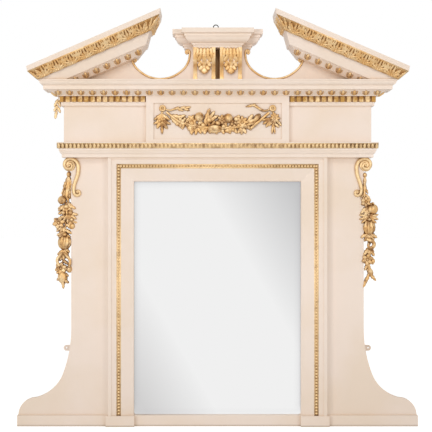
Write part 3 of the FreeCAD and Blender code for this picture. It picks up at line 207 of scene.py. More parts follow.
def at(across, depth, height):
    return Vector((across * MM, WALL - depth * MM, height * MM))


def reach(node):
    """The box of a node of the frame."""
    low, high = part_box(node)
    return SimpleNamespace(left=low.x / MM, right=high.x / MM, low=low.z / MM, high=high.z / MM,
                           back=(WALL - high.y) / MM, front=(WALL - low.y) / MM)


def plane(origin, along, up):
    """A carving plane: (x, y, out) runs along it, up it and square out of it."""
    along, up = along.normalized(), up.normalized()
    outward = along.cross(up)
    return lambda x, y, out: origin + (along * x + up * y + outward * out) * MM


def upright(depth, across=0.0, height=0.0):
    """A carving plane that faces the viewer, measured across and up from a place."""
    return lambda x, y, out: at(across + x, depth + out, height + y)


def measures(scene):
    """The sizes of the ornament and the mouldings, with every length in millimetres."""
    sizes = SimpleNamespace()
    for group in (scene.overmantel_carving, scene.overmantel_mouldings):
        for name, prop in group.bl_rna.properties.items():
            value = getattr(group, name)
            if getattr(prop, "unit", "") == "LENGTH":
                value = tuple(part / MM for part in value) if prop.is_array else value / MM
            setattr(sizes, name, value)
    return sizes


# Finishes

def add(tree, kind, settings=None, links=None):
    """Adds a shader node of a kind; settings are sockets or attributes, links are sockets."""
    node = tree.nodes.new("ShaderNode" + kind)
    for key, value in (settings or {}).items():
        if isinstance(key, int) or key in node.inputs:
            node.inputs[key].default_value = value
        else:
            setattr(node, key, value)
    for key, source in (links or {}).items():
        tree.links.new(source, node.inputs[key])
    return node


def opaque(rgb):
    return (*rgb, 1.0)


def blend(tree, amount, first, second):
    """Mixes two colours, each a colour or a socket, by a socket."""
    node = add(tree, "Mix", {"data_type": "RGBA"}, {0: amount})
    for index, value in ((6, first), (7, second)):
        if isinstance(value, bpy.types.NodeSocket):
            tree.links.new(value, node.inputs[index])
        else:
            node.inputs[index].default_value = opaque(value)
    return node.outputs[2]


def ramp(tree, value, start=0.0, stop=1.0, least=0.0, most=1.0):
    """Turns a socket's value from start to stop into least to most."""
    return add(tree, "MapRange", {"From Min": start, "From Max": stop, "To Min": least, "To Max": most},
               {"Value": value}).outputs["Result"]


def place_on_object(tree):
    return add(tree, "TexCoord").outputs["Object"]


def height_over_floor(tree):
    return add(tree, "SeparateXYZ", links={"Vector": place_on_object(tree)}).outputs["Z"]


def patches(tree, size, low, high, detail=4.0, stretch=(1.0, 1.0, 1.0), most=1.0):
    """Soft patches of about a size in metres: 0 where the noise is under low, most where it is over high."""
    spread = add(tree, "Mapping", {"Scale": stretch}, {"Vector": place_on_object(tree)})
    noise = add(tree, "TexNoise", {"Scale": 1 / size, "Detail": detail, "Roughness": 0.55},
                {"Vector": spread.outputs["Vector"]})
    return ramp(tree, noise.outputs["Fac"], low, high, most=most)


def hollows(tree, distance, low, high):
    """1 in the hollows that are narrower than a distance, 0 in the open."""
    openness = add(tree, "AmbientOcclusion", {"samples": 8, "Distance": distance})
    return ramp(tree, openness.outputs["AO"], high, low)


def below(tree, height, most):
    """0 over a height in metres above the floor, most at the floor."""
    return ramp(tree, height_over_floor(tree), height, 0.0, most=most)


def bumped(tree, height, distance, strength):
    return add(tree, "Bump", {"Strength": strength, "Distance": distance},
               {"Height": height}).outputs["Normal"]


def finish(name, settings):
    """A new material with a principled shader."""
    material = bpy.data.materials.new(name)
    material.use_nodes = True
    tree = material.node_tree
    tree.nodes.clear()
    shader = add(tree, "BsdfPrincipled", settings)
    add(tree, "OutputMaterial", links={"Surface": shader.outputs["BSDF"]})
    return material, tree, shader


def aged_cream_paint(colours):
    """Brushed oil paint: it yellows in soft patches, takes painted shade in the corners of its mouldings and
    toward its bottom, and has scuffs and a painted shadow along its foot.
    """
    material, tree, shader = finish("aged_cream_oil_paint", {"Roughness": 0.5, "Specular IOR Level": 0.35})
    aged = blend(tree, patches(tree, size=0.35, low=0.40, high=0.62), colours.cream, colours.cream_old)
    # Painted shade in the corners and recesses of the mouldings
    corner_shaded = blend(tree, hollows(tree, distance=0.015, low=0.1, high=0.75), aged, colours.corner_shade)
    # Painted shade: the paint darkens over the lowest half metre toward the floor
    rubbed = blend(tree, below(tree, height=0.5, most=0.12), corner_shaded, colours.foot_scuff_and_shade)
    # Scuffs with a painted shadow along the last few millimetres of the foot
    foot_scuffed_and_shaded = blend(tree, below(tree, height=0.009, most=0.6), rubbed, colours.foot_scuff_and_shade)
    tree.links.new(foot_scuffed_and_shaded, shader.inputs["Base Color"])
    brush = patches(tree, size=0.004, low=0.2, high=0.8, detail=3.0, stretch=(1.0, 1.0, 0.12))
    tree.links.new(bumped(tree, brush, distance=0.0003, strength=0.25), shader.inputs["Normal"])
    return material


def gold_leaf(colours, name, whole, bare, hollow, deep, shallow):
    """Old gold leaf: pale where it is rubbed, bare to its brown clay in spots, and brown with painted shade in
    hollows of a width.
    """
    material, tree, shader = finish(name, {"Roughness": 0.42, "Metallic": 0.6})
    rubbed = blend(tree, patches(tree, size=0.03, low=0.42, high=0.62), whole, colours.gold_pale)
    spotted = blend(tree, patches(tree, size=0.022, low=0.48, high=0.66, most=bare), rubbed, colours.bole_and_hollow_shade)
    # Painted shade: hollows narrower than a width are browned toward the clay's colour
    hollow_shaded = blend(tree, hollows(tree, hollow, deep, shallow), spotted, colours.bole_and_hollow_shade)
    tree.links.new(hollow_shaded, shader.inputs["Base Color"])
    dents = patches(tree, size=0.003, low=0.3, high=0.7)
    tree.links.new(bumped(tree, dents, distance=0.0004, strength=0.3), shader.inputs["Normal"])
    return material


def bare_pine(colours):
    """Unpainted pine on the back, with its grain upright."""
    material, tree, shader = finish("bare_pine", {"Roughness": 0.75})
    grain = patches(tree, size=0.012, low=0.42, high=0.60, detail=5.0, stretch=(1.0, 1.0, 0.06))
    tree.links.new(blend(tree, grain, colours.pine, colours.pine_late), shader.inputs["Base Color"])
    return material


def old_looking_glass(colours):
    """Silvered glass that is clear in a slanting band, with a painted reflection that greys it toward two corners
    and painted shade along three edges.
    """
    material, tree, shader = finish("old_looking_glass", {"Metallic": 1.0, "Roughness": 0.015})
    square_to_band = (0.869, 0.0, 0.495)
    slant = add(tree, "VectorMath", {"operation": "DOT_PRODUCT", 1: square_to_band},
                {0: place_on_object(tree)}).outputs["Value"]
    # Painted reflection: grey toward the upper right corner, then toward the lower left corner
    tone = blend(tree, ramp(tree, slant, start=0.437, stop=0.74), colours.silver, colours.painted_reflection_upper_right)
    tone = blend(tree, ramp(tree, slant, start=0.027, stop=-0.22), tone, colours.painted_reflection_lower_left)
    # Painted shade along the upper and side edges of the glass, kept off its foot
    over_plinth = ramp(tree, height_over_floor(tree), start=0.05, stop=0.085)
    edge = add(tree, "Math", {"operation": "MULTIPLY"},
               {0: hollows(tree, distance=0.03, low=0.2, high=0.97), 1: over_plinth})
    tone = blend(tree, edge.outputs["Value"], tone, colours.painted_edge_shade)
    tree.links.new(tone, shader.inputs["Base Color"])
    return material


def dull_metal(name, rgb):
    """Old metal that has lost its polish, duller in patches."""
    material, tree, shader = finish(name, {"Metallic": 1.0, "Base Color": opaque(rgb)})
    dullness = ramp(tree, patches(tree, size=0.008, low=0.3, high=0.7), least=0.35, most=0.6)
    tree.links.new(dullness, shader.inputs["Roughness"])
    return material


# Carving

def placed(name, data):
    """A new object in the scene."""
    item = bpy.data.objects.new(name, data)
    bpy.context.scene.collection.objects.link(item)
    return item


def shaped(name, bm, material):
    """A new object of a finished mesh."""
    mesh = bpy.data.meshes.new(name)
    bm.to_mesh(mesh)
    bm.free()
    mesh.materials.append(material)
    return placed(name, mesh)


def turned(x, y, lean):
    """Turns places (side, along) clockwise from upright about (x, y)."""
    cos, sin = math.cos(math.radians(lean)), math.sin(math.radians(lean))
    return lambda side, along: (x + side * cos + along * sin, y + along * cos - side * sin)


class Carver:
    """Carves ornament in millimetres on a surface, a function of (x, y, out)."""

    def __init__(self, surface):
        self.bm = bmesh.new()
        self.surface = surface
        carving = bpy.context.scene.overmantel_carving
        self.notch, self.vein = carving.notch, carving.vein

    def lay(self, verts, place):
        """Puts the points of a new shape on the surface."""
        for vert in verts:
            vert.co = self.surface(*place(vert.co))

    def relief(self, columns, rows, place, sink):
        """A raised sheet: place(side, way) gives its points, and its rim goes straight back by sink."""
        made = bmesh.ops.create_grid(self.bm, x_segments=columns, y_segments=rows, size=1.0)
        verts = made["verts"]
        for vert in verts:
            vert.co = place(vert.co.x, (vert.co.y + 1) / 2)
        rim = dict.fromkeys(edge for vert in verts for edge in vert.link_edges if edge.is_boundary)
        skirt = bmesh.ops.extrude_edge_only(self.bm, edges=list(rim))["geom"]
        low = [part for part in skirt if isinstance(part, bmesh.types.BMVert)]
        for vert in low:
            vert.co.z = -sink
        bmesh.ops.contextual_create(self.bm, geom=[part for part in skirt if isinstance(part, bmesh.types.BMEdge)
                                                   and part.is_boundary])
        self.lay(verts + low, lambda co: co)

    def leaf(self, x, y, lean, long, wide, rise, lobes=3, curl=0.0, sink=1.0):
        """A domed leaf on its root at (x, y), leaning clockwise from upright, lifted by curl at its tip."""
        spot = turned(x, y, lean)

        # The outline swells and narrows to a tip, lobes notch its edge and fold its face, and a groove runs up it
        def place(side, way):
            swell = max(0.06, math.sin(math.pi * (0.14 + 0.86 * way))) ** 0.6
            cut = 0.5 + 0.5 * math.cos(2 * math.pi * lobes * way) if lobes else 0.0
            half = wide / 2 * swell * (1 - self.notch * cut * side * side)
            fold = 1 - self.vein * cut * abs(side) ** 0.7 if lobes else 1.0
            groove = 0.72 if side == 0 else 1.0
            out = rise * (1 - 0.8 * side * side) * fold * groove * (0.35 + 0.65 * swell) + curl * way * way
            along = long * way + 0.3 * half * abs(side) * (1 - way)
            return Vector((*spot(half * side, along), out))

        self.relief(6, max(6, 4 * lobes), place, sink)

    def boss(self, x, y, wide, long, rise, lean=0.0, ribs=0, groove=0.14, seat=0.0):
        """A fruit or bud with half sizes wide, long and rise, ribbed from end to end or plain."""
        spot = turned(x, y, lean)
        made = bmesh.ops.create_uvsphere(self.bm, u_segments=max(12, 4 * ribs), v_segments=8, radius=1.0)

        def place(co):
            turn = math.atan2(co.y, co.x)
            swell = 1 - groove * (0.5 + 0.5 * math.cos(ribs * turn)) if ribs else 1.0
            return (*spot(co.x * wide * swell, co.z * long), seat + co.y * rise * swell)

        self.lay(made["verts"], place)

    def tuft(self, x, y, leans, long, wide, rise, lobes=3, curl=4.0):
        """Leaves that spread from one root."""
        for lean in leans:
            self.leaf(x, y, lean, long, wide, rise, lobes, curl)

    def flower(self, x, y, radius, petals, rise, turn=0.0):
        """Open petals round a raised eye."""
        for step in range(petals):
            self.leaf(x, y, turn + 360 * step / petals, radius, wide=radius * 5.2 / petals, rise=rise, lobes=0,
                      curl=rise * 0.5)
        self.boss(x, y, radius * 0.28, radius * 0.28, rise * 1.4)

    def trail(self, points, spacing, long, wide, rise, spread):
        """Leaves along a line of (x, y), laid to its two sides by turns."""
        hand = 1
        for (x, y), (next_x, next_y) in zip(points, points[1:]):
            heading = math.degrees(math.atan2(next_x - x, next_y - y))
            count = max(1, round(math.hypot(next_x - x, next_y - y) / spacing))
            for step in range(count):
                way = step / count
                hand = -hand
                self.leaf(x + (next_x - x) * way, y + (next_y - y) * way, heading + spread * hand, long, wide,
                          rise, curl=3.0)

    def band(self, low, high, rise, lip, sink=0.0):
        """A flat ground between two edges, each given by its end points, with raised lips along them."""
        low, high = [Vector(end) for end in low], [Vector(end) for end in high]

        def place(side, way):
            across = [foot.lerp(head, (side + 1) / 2) for foot, head in zip(low, high)]
            return Vector((*across[0].lerp(across[1], way), rise + (lip if abs(side) > 0.6 else 0.0)))

        self.relief(6, 1, place, sink)

    def strand(self, points, radius, first=1.0, last=1.0, closed=False):
        """A round strand through points (x, y, out), full in its middle and thinned at its ends."""
        curve = bpy.data.curves.new("strand", "CURVE")
        curve.dimensions = "3D"
        curve.bevel_depth = radius * MM
        curve.bevel_resolution = 2
        curve.resolution_u = 3
        curve.use_fill_caps = True
        spline = curve.splines.new("NURBS")
        spline.points.add(len(points) - 1)
        for step, (point, place) in enumerate(zip(spline.points, points)):
            point.co = (*self.surface(*place), 1.0)
            way = 2 * step / (len(points) - 1) - 1
            point.radius = 1 + ((last if way > 0 else first) - 1) * abs(way)
        spline.order_u = 3
        spline.use_endpoint_u = not closed
        spline.use_cyclic_u = closed
        holder = bpy.data.objects.new("strand", curve)
        mesh = bpy.data.meshes.new_from_object(holder)
        self.bm.from_mesh(mesh)
        bpy.data.objects.remove(holder)
        bpy.data.curves.remove(curve)
        bpy.data.meshes.remove(mesh)

    def heap(self, strands=(), trails=(), tufts=(), leaves=(), flowers=(), bosses=()):
        """Many shapes, each a row of what the method for its kind takes."""
        for carve, rows in ((self.strand, strands), (self.trail, trails), (self.tuft, tufts), (self.leaf, leaves),
                            (self.flower, flowers), (self.boss, bosses)):
            for row in rows:
                carve(*row)

    def gild(self, name, *nodes, leaf="worn_gold_leaf"):
        """Makes the carving a gilt piece in place of nodes of the frame."""
        bmesh.ops.recalc_face_normals(self.bm, faces=self.bm.faces)
        piece = shaped(name, self.bm, bpy.data.materials[leaf])
        piece.data.shade_smooth()
        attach(piece, BODY)
        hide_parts(*nodes)


def steps(first, last, pitch):
    """Evenly spaced places from first to last, about a pitch apart."""
    count = max(1, round((last - first) / pitch))
    return [first + (last - first) * step / count for step in range(count + 1)]


def arc(centre, radius, start, stop, count, out=0.0, fade=1.0):
    """Points (x, y, out) on an arc, or on a spiral whose radius ends at fade of its start."""
    points = []
    for step in range(count + 1):
        way = step / count
        turn = math.radians(start + (stop - start) * way)
        reached = radius * fade ** way
        points.append((centre[0] + reached * math.cos(turn), centre[1] + reached * math.sin(turn), out))
    return points


def mirrored(points, side):
    """Points drawn on the right side, for the side that is asked."""
    return [(x * side, y, out) for x, y, out in points]


class OVERMANTEL_OT_joinery(bpy.types.Operator):
    """Paint, silver and leave bare the pieces whose shapes are shown as they are"""
    bl_idname = "overmantel.joinery"
    bl_label = "Paint the joinery"

    # Each gilding's colour, the bareness of its spots, and the width and depths of the hollows that take a brown
    # painted shade
    gildings = {
        "worn_gold_leaf": ("gold", 0.1, 0.014, 0.10, 0.70),
        # The garlands' and the swag's gilding: more spots rubbed bare, and deeper painted shade in wider hollows
        "tarnished_gold_leaf": ("gold", 0.75, 0.026, 0.30, 0.88),
        "pale_gold_leaf": ("gold_pale", 0.25, 0.008, 0.04, 0.55),
        "rubbed_gold_leaf": ("gold_pale", 0.5, 0.012, 0.12, 0.80),
        "dull_gold_leaf": ("gold_dull", 0.35, 0.018, 0.20, 0.85),
    }

    def execute(self, context):
        colours = context.scene.overmantel_colours
        gilt = {name: gold_leaf(colours, name, getattr(colours, tone), *wear)
                for name, (tone, *wear) in self.gildings.items()}
        slots = {
            "cream_paint": aged_cream_paint(colours),
            "gilding": gilt["worn_gold_leaf"],
            "bare_pine": bare_pine(colours),
            "looking_glass": old_looking_glass(colours),
            "brass": dull_metal("dull_brass", colours.brass),
            "steel": dull_metal("blackened_iron", colours.iron),
        }
        own = {f"dentil_course_{hand}": gilt["dull_gold_leaf"] for hand in SIDES}
        own["hanger_ring"] = dull_metal("tarnished_brass", colours.brass_dark)
        for entry in frame["record"]["subparts"]:
            for holder in frame["nodes"][entry["node"]].material_slots:
                holder.material = own.get(entry["node"], slots[entry["material_slot"]])
        return {"FINISHED"}


class OVERMANTEL_OT_bead_strips(bpy.types.Operator):
    """Carve the bead strips round the looking glass"""
    bl_idname = "overmantel.bead_strips"
    bl_label = "Carve the bead strips"

    def execute(self, context):
        sizes = measures(context.scene)
        pitch, radius = sizes.bead_pitch, sizes.bead_radius
        for hand in (*SIDES, "top"):
            node = f"bead_strip_{hand}"
            strip = reach(node)
            carver = Carver(upright(strip.back))
            half = min(strip.right - strip.left, strip.high - strip.low) / 2
            ground = strip.front - strip.back - radius
            if hand == "top":
                ends = strip.left + 2 * half, strip.right - 2 * half
                edges = [[(across, height) for across in ends] for height in (strip.low, strip.high)]
                middle = (strip.low + strip.high) / 2
                beads = [(across, middle) for across in steps(*ends, pitch)]
            else:
                ends = strip.low, strip.high
                edges = [[(across, height) for height in ends] for across in (strip.left, strip.right)]
                middle = (strip.left + strip.right) / 2
                beads = [(middle, height) for height in steps(strip.low + half, strip.high - half, pitch)]
            carver.band(*edges, ground, sizes.bead_lip)
            for across, height in beads:
                made = bmesh.ops.create_uvsphere(carver.bm, u_segments=8, v_segments=5, radius=radius)
                carver.lay(made["verts"], lambda co: (across + co.x, height + co.y, ground + co.z))
            carver.gild(f"gilt_beads_{hand}", node, leaf="pale_gold_leaf")
        return {"FINISHED"}


class OVERMANTEL_OT_lower_leaves(bpy.types.Operator):
    """Carve the row of small leaves on the lower cornice"""
    bl_idname = "overmantel.lower_leaves"
    bl_label = "Carve the lower cornice's leaves"

    def execute(self, context):
        sizes = measures(context.scene)
        pitch, lean = sizes.small_leaf_pitch, sizes.lower_leaf_lean
        strip = reach("lower_leaf_strip")
        tall = strip.high - strip.low
        face = math.hypot(lean, tall)
        carver = Carver(plane(at(0, strip.front - lean, strip.low), Vector((1, 0, 0)), Vector((0, -lean, tall))))
        self.row(carver, steps(strip.left + pitch / 2, strip.right - pitch / 2, pitch), pitch, face)
        for side in SIDES.values():
            carver.surface = plane(at((strip.right - lean) * side, 0, strip.low), Vector((0, side, 0)),
                                   Vector((lean * side, 0, tall)))
            places = [-depth * side for depth in steps(pitch * 0.6, strip.front - pitch, pitch)]
            self.row(carver, places, pitch, face)
        carver.gild("gilt_lower_leaves", "lower_leaf_strip", leaf="rubbed_gold_leaf")
        return {"FINISHED"}

    def row(self, carver, places, pitch, face):
        """Leaves side by side on a ground with two lips."""
        ends = min(places) - pitch / 2, max(places) + pitch / 2
        carver.band([(x, 0.0) for x in ends], [(x, face) for x in ends], rise=-0.6, lip=0.6, sink=3.0)
        for x in places:
            carver.leaf(x, 0.0, lean=0, long=face - 1.0, wide=pitch * 0.9, rise=4.2, curl=0.6, sink=2.0)


class OVERMANTEL_OT_eggs(bpy.types.Operator):
    """Carve the eggs in their shells under the level and the raking cornices"""
    bl_idname = "overmantel.eggs"
    bl_label = "Carve the eggs"

    def execute(self, context):
        sizes = measures(context.scene)
        self.level(sizes.egg_pitch, sizes.egg_foot, sizes.egg_head)
        self.raking(sizes)
        return {"FINISHED"}

    def level(self, pitch, foot, head):
        """The row under the corona, with two eggs on each return."""
        board, low = reach("frieze_board"), reach("egg_bed").low
        up = Vector((0, foot[0] - head[0], head[1] - foot[1]))
        carver = Carver(plane(at(0, board.front + foot[0], low + foot[1]), Vector((1, 0, 0)), up))
        count = int((board.right + foot[0]) / pitch)
        for step in range(-count, count + 1):
            self.egg(carver, step * pitch, up.length)
        for side in SIDES.values():
            start = at((board.right + foot[0]) * side, 0, low + foot[1])
            carver.surface = plane(start, Vector((0, side, 0)), Vector((-up.y * side, 0, up.z)))
            for behind in (0.05 * pitch, 1.05 * pitch):
                self.egg(carver, (behind - board.front) * side, up.length)
        carver.gild("gilt_cornice_eggs", "cornice_eggs")

    def raking(self, sizes):
        """The rows under the raking cornices."""
        carver = Carver(upright(0.0))
        for side in SIDES.values():
            carver.surface, face = rake_plane(sizes.rake, side, sizes.raking_egg_foot, sizes.raking_egg_head)
            for step in range(sizes.raking_egg_count):
                self.egg(carver, -(sizes.raking_egg_start + sizes.egg_pitch * step) * side, face)
        carver.gild("gilt_raking_eggs", "raking_eggs")

    def egg(self, carver, x, face):
        """An egg, and the shell that runs round its foot."""
        middle = face * 0.5
        carver.boss(x, middle, wide=7.4, long=face * 0.36, rise=7.5)
        half_wide, half_tall, out = 12.0, face * 0.44, 0.8
        turns = [math.pi * (0.86 + step * 1.28 / 10) for step in range(11)]
        carver.strand([(x + half_wide * math.cos(turn), middle + 1 + half_tall * math.sin(turn), out)
                       for turn in turns], radius=2.0)


def rake_point(rake, side, along, fall, depth):
    """A place on a raking cornice: along its slope from the tip, square below its top, out from the wall."""
    run = reach("raking_cornice_right")
    cos, sin = math.cos(rake), math.sin(rake)
    tip_height = run.high - (run.right - run.left) * sin / cos
    return at((run.right - along * cos - fall * sin) * side, depth, tip_height + along * sin - fall * cos)


def rake_mitre(rake, inner, fall, depth):
    """How far along the slope a face of a raking cornice ends at its mitre."""
    run = reach("raking_cornice_right")
    set_back = run.front - depth
    across = run.right - run.left - set_back if inner else set_back
    return (across - fall * math.sin(rake)) / math.cos(rake)


def rake_plane(rake, side, foot, head):
    """The carving plane of a raking cornice between two places (square below its top, depth)."""
    low, high = (rake_point(rake, side, 0.0, *edge) for edge in (foot, head))
    along = Vector((math.cos(rake), 0, -math.sin(rake) * side))
    return plane(low, along, high - low), (high - low).length / MM


class OVERMANTEL_OT_raking_leaves(bpy.types.Operator):
    """Carve the acanthus foliage along the raking cornices and round their inner ends"""
    bl_idname = "overmantel.raking_leaves"
    bl_label = "Carve the raking cornices' leaves"

    # The lean and length of a palmette's leaves, the height of all roots, what the tall leaves share, and the
    # room that a row of palmettes leaves at its ends
    fan = ((-74, 28), (-52, 37), (-27, 45), (0, 49), (27, 45), (52, 37), (74, 28))
    root = 2.0
    tall = {"rise": 7.0, "lobes": 4, "curl": 3.0, "sink": 3.0}
    end_room = 34.0

    def execute(self, context):
        sizes = measures(context.scene)
        foot, head = sizes.raking_leaf_foot, sizes.raking_leaf_head
        for hand, side in SIDES.items():
            surface, face = rake_plane(sizes.rake, side, foot, head)
            carver = Carver(surface)
            edges = [[rake_mitre(sizes.rake, inner, *edge) for inner in (False, True)] for edge in (foot, head)]
            self.run(carver, side, edges, face, sizes.clump_pitch)
            corner = [rake_point(sizes.rake, side, edge[1], fall, foot[1])
                      for edge, (fall, _) in zip(edges, (foot, head))]
            self.inner_end(carver, side, corner, foot[1], sizes.clump_pitch)
            carver.gild(f"gilt_raking_leaves_{hand}", f"raking_leaf_{hand}")
        return {"FINISHED"}

    def clump(self, carver, x):
        """A palmette of seven leaves with a bud at its root."""
        for step, (lean, long) in enumerate(self.fan):
            carver.leaf(x, self.root, lean, long, wide=15.5, rise=7.0 + 2.0 * (step % 2), curl=3.0, sink=3.0)
        carver.boss(x, 7.0, wide=5.5, long=7.0, rise=12.0)

    def run(self, carver, side, edges, face, pitch):
        """Palmettes and upright leaves by turns up the slope, and leaves that fill the mitred ends."""
        low, high = ([(-along * side, height) for along in edge] for edge, height in zip(edges, (0.0, face)))
        carver.band(low, high, rise=2.5, lip=0.6, sink=4.0)
        first, last = edges[0][0] + self.end_room, edges[0][1] - self.end_room
        places = steps(first, last, pitch)
        for along in places:
            self.clump(carver, -along * side)
        for along, after in zip(places, places[1:]):
            x = -(along + after) / 2 * side
            for lean, long, wide in ((-15, 46, 15), (15, 46, 15), (0, 50, 26)):
                carver.leaf(x, self.root, lean, long, wide, **self.tall)
            for shift in (-16, 16):
                carver.leaf(x + shift, face * 0.5, lean=0.6 * shift, long=face * 0.48, wide=14, rise=8.0, lobes=2,
                            curl=2.0, sink=3.0)
        for along, lean, long in ((first - 26, -24, 48), (first - 16, -10, 46), (last + 14, 18, 50),
                                  (last + 24, 32, 58), (last + 28, 48, 66)):
            carver.leaf(-along * side, self.root, -lean * side, long, wide=15.0, **self.tall)

    def inner_end(self, carver, side, corner, deep, pitch):
        """The same foliage, let in a little, where the moulding returns to the wall from its corner."""
        let_in, face = 4.0, 64.0
        along, up = Vector((0, -side, 0)), corner[1] - corner[0]
        carver.surface = plane(plane(corner[0], along, up)(0.0, 0.0, -let_in), along, up)
        ends = (-2.0 * side, (1.0 - deep) * side)
        carver.band([(x, 0.0) for x in ends], [(x, face) for x in ends], rise=4.2, lip=0.0, sink=2.0)
        for behind in steps(self.end_room, deep - self.end_room, pitch):
            self.clump(carver, -behind * side)


# The heaps of fruit, flowers and leaves, in millimetres and degrees, across and up from the middle of the
# tablet's foot or of a garland's top. A row holds, as far as it goes:
#   strands  points (across, up, out), radius, shares of the radius at the first and the last end
#   trails   points (across, up), spacing, length, width, rise, spread to the two sides
#   tufts    across, up, leans, length, width, rise, lobes, curl
#   leaves   across, up, lean, length, width, rise, lobes, curl
#   flowers  across, up, radius, petals, rise, turn
#   bosses   across, up, half width, half length, rise, lean, ribs, groove

SWAG = {
    "strands": (
        (((-204, 120, 4), (-178, 98, 7), (-148, 78, 8)), 5.0),
        (((206, 118, 4), (168, 86, 8), (132, 55, 8)), 5.6),
        (((-150, 78, 3), (-90, 62, 3), (0, 54, 3), (90, 60, 3), (140, 74, 3)), 7.0)),
    "trails": (
        (((-158, 84), (-92, 66), (0, 58), (88, 62), (140, 78)), 13, 30, 19, 8, 64),
        (((-110, 84), (-40, 82), (40, 80), (104, 84)), 15, 30, 19, 9, 60)),
    "tufts": (
        (-188, 106, (100, 142), 46, 22, 7), (-112, 74, (108, 138, 168), 46, 22, 9),
        (-84, 66, (116, 150, 186, 216), 38, 20, 9), (-92, 90, (-62, -100), 30, 20, 7),
        (-52, 72, (18, 38, 58), 66, 24, 10), (-44, 58, (200, 235), 28, 20, 8), (62, 84, (55, 88, 122), 36, 20, 8),
        (98, 62, (150, 185, 215), 32, 20, 7), (118, 78, (35, 70, 102), 40, 22, 9)),
    "leaves": ((-174, 92, 72, 50, 22, 8, 3, 3), (142, 74, 58, 36, 18, 8, 3, 3)),
    "flowers": ((-149, 79, 21, 6, 10), (18, 90, 20, 6, 11), (98, 79, 26, 8, 10)),
    "bosses": (
        *((x, y, wide, wide, 14) for x, y, wide in (
            (-104, 76, 12), (-58, 68, 12), (-34, 88, 14), (2, 76, 14), (24, 62, 12), (74, 92, 12), (112, 64, 11),
            (84, 66, 10), (-92, 58, 10), (-20, 44, 9), (62, 50, 9))),
        *((x, y, 8, 8, 13) for x, y in (
            (-131, 93), (-122, 83), (-137, 64), (-121, 67), (-111, 79), (-128, 75), (57, 72), (50, 62), (67, 66),
            (70, 78))),
        (-74, 100, 20, 20, 20, 30, 6, 0.12), (-12, 54, 20, 33, 23, 90, 7, 0.2), (42, 95, 20, 20, 20, -25, 6, 0.12),
        (46, 49, 11, 21, 13, 75), (157, 97, 13, 21, 14, 40, 5)),
}

DROPS = {
    "strands": ((((-222, 120, 3), (-222, 96, 6), (-222, 60, 4)), 4.0),
                (((222, 120, 3), (224, 100, 6), (222, 60, 4)), 4.0)),
    "trails": ((((-222, 112), (-222, 66)), 9, 32, 17, 8, 46), (((222, 112), (224, 70)), 9, 30, 16, 8, 46)),
    "tufts": (
        (-222, 112, (128, 152, 180, 208, 234), 40, 18, 8), (-222, 86, (112, 146, 214, 250), 38, 18, 8),
        (216, 94, (-98, -122, -146), 42, 18, 8), (222, 82, (172, 186), 50, 12, 7, 2)),
    "leaves": ((-222, 74, 180, 42, 16, 8, 3, 3), (236, 88, 140, 30, 16, 7, 3, 3)),
    "flowers": ((228, 95, 22, 8, 10),),
    "bosses": ((-213, 92, 8, 9, 13), (-231, 86, 8, 9, 13), (-221, 78, 8, 9, 13)),
}

RIBBONS = {
    "strands": (
        (((-208, 131, 2), (-196, 126, 4), (-182, 128, 5), (-168, 134, 5), (-140, 134, 5), (-110, 139, 3)),
         4.0, 0.7, 0.4),
        (((208, 131, 2), (194, 125, 4), (178, 125, 5), (162, 137, 5), (146, 147, 5), (130, 148, 5), (112, 141, 3)),
         5.0, 0.7, 0.5)),
    "leaves": (
        *((x, y, lean, 26, 14, 7, 2, 2) for x, y, lean in (
            (-176, 130, 66), (-160, 132, 104), (-152, 134, 72), (-136, 134, 108), (-132, 136, 80))),
        *((x, y, lean, 24, 13, 7, 2, 2) for x, y, lean in ((186, 125, -70), (160, 138, -48), (140, 147, -100)))),
}

GARLAND_LEFT = {
    "strands": (
        (((12, 0, 2), (6, -60, 2), (-4, -110, 2), (0, -180, 2), (-6, -280, 2), (-12, -350, 2), (-16, -410, 2),
          (-10, -458, 2)), 5.0, 0.8, 0.5),
        (((4, -30, 10), (-6, -58, 12), (-17, -82, 12)), 2.4),
        (((-14, -322, 14), (-32, -338, 16), (-36, -356, 14), (-26, -372, 14)), 6.0),
        (((-6, -322, 14), (12, -338, 16), (20, -356, 14), (14, -376, 14)), 6.0)),
    "trails": (
        (((12, -12), (4, -70), (-2, -100)), 9, 42, 17, 11, 24),
        (((-2, -118), (0, -180), (-6, -250)), 11, 34, 21, 13, 66),
        (((-8, -300), (-12, -350), (-14, -400), (-12, -440)), 12, 30, 19, 11, 56)),
    "tufts": (
        (-4, -92, (205, 238), 34, 20, 12), (2, -126, (232, 204, 176, 146, 112), 42, 22, 15, 3, 7),
        (10, -162, (214, 184, 154, 124, 96), 40, 21, 15, 3, 7), (12, -190, (105, 140, 168), 36, 20, 12),
        (-10, -212, (172, 205, 232), 36, 20, 12), (-6, -246, (-112, 112, 148, -148), 28, 18, 16),
        (-10, -306, (178, 204, 152), 44, 26, 14), (-14, -396, (150, 205), 38, 20, 11)),
    "leaves": (
        (12, -8, 186, 94, 30, 14, 3, 8), (20, -46, 178, 66, 12, 8, 2, 3), (-12, -420, 178, 46, 18, 10, 3, 3)),
    "flowers": ((-28, -199, 26, 6, 15, 15), (-20, -382, 25, 6, 14, 10)),
    "bosses": (
        (12, -3, 10, 12, 15), (-16, -107, 18, 18, 26, 20, 6), (2, -134, 13, 13, 22), (18, -158, 12, 12, 22),
        (-10, -158, 11, 11, 22), (24, -186, 10, 10, 22), (26, -212, 13, 14, 18), (-4, -246, 11, 9, 27),
        (-5, -277, 29, 32, 28, 8, 10, 0.26), (14, -385, 14, 16, 17), (-15, -417, 19, 27, 18, 0, 5)),
}

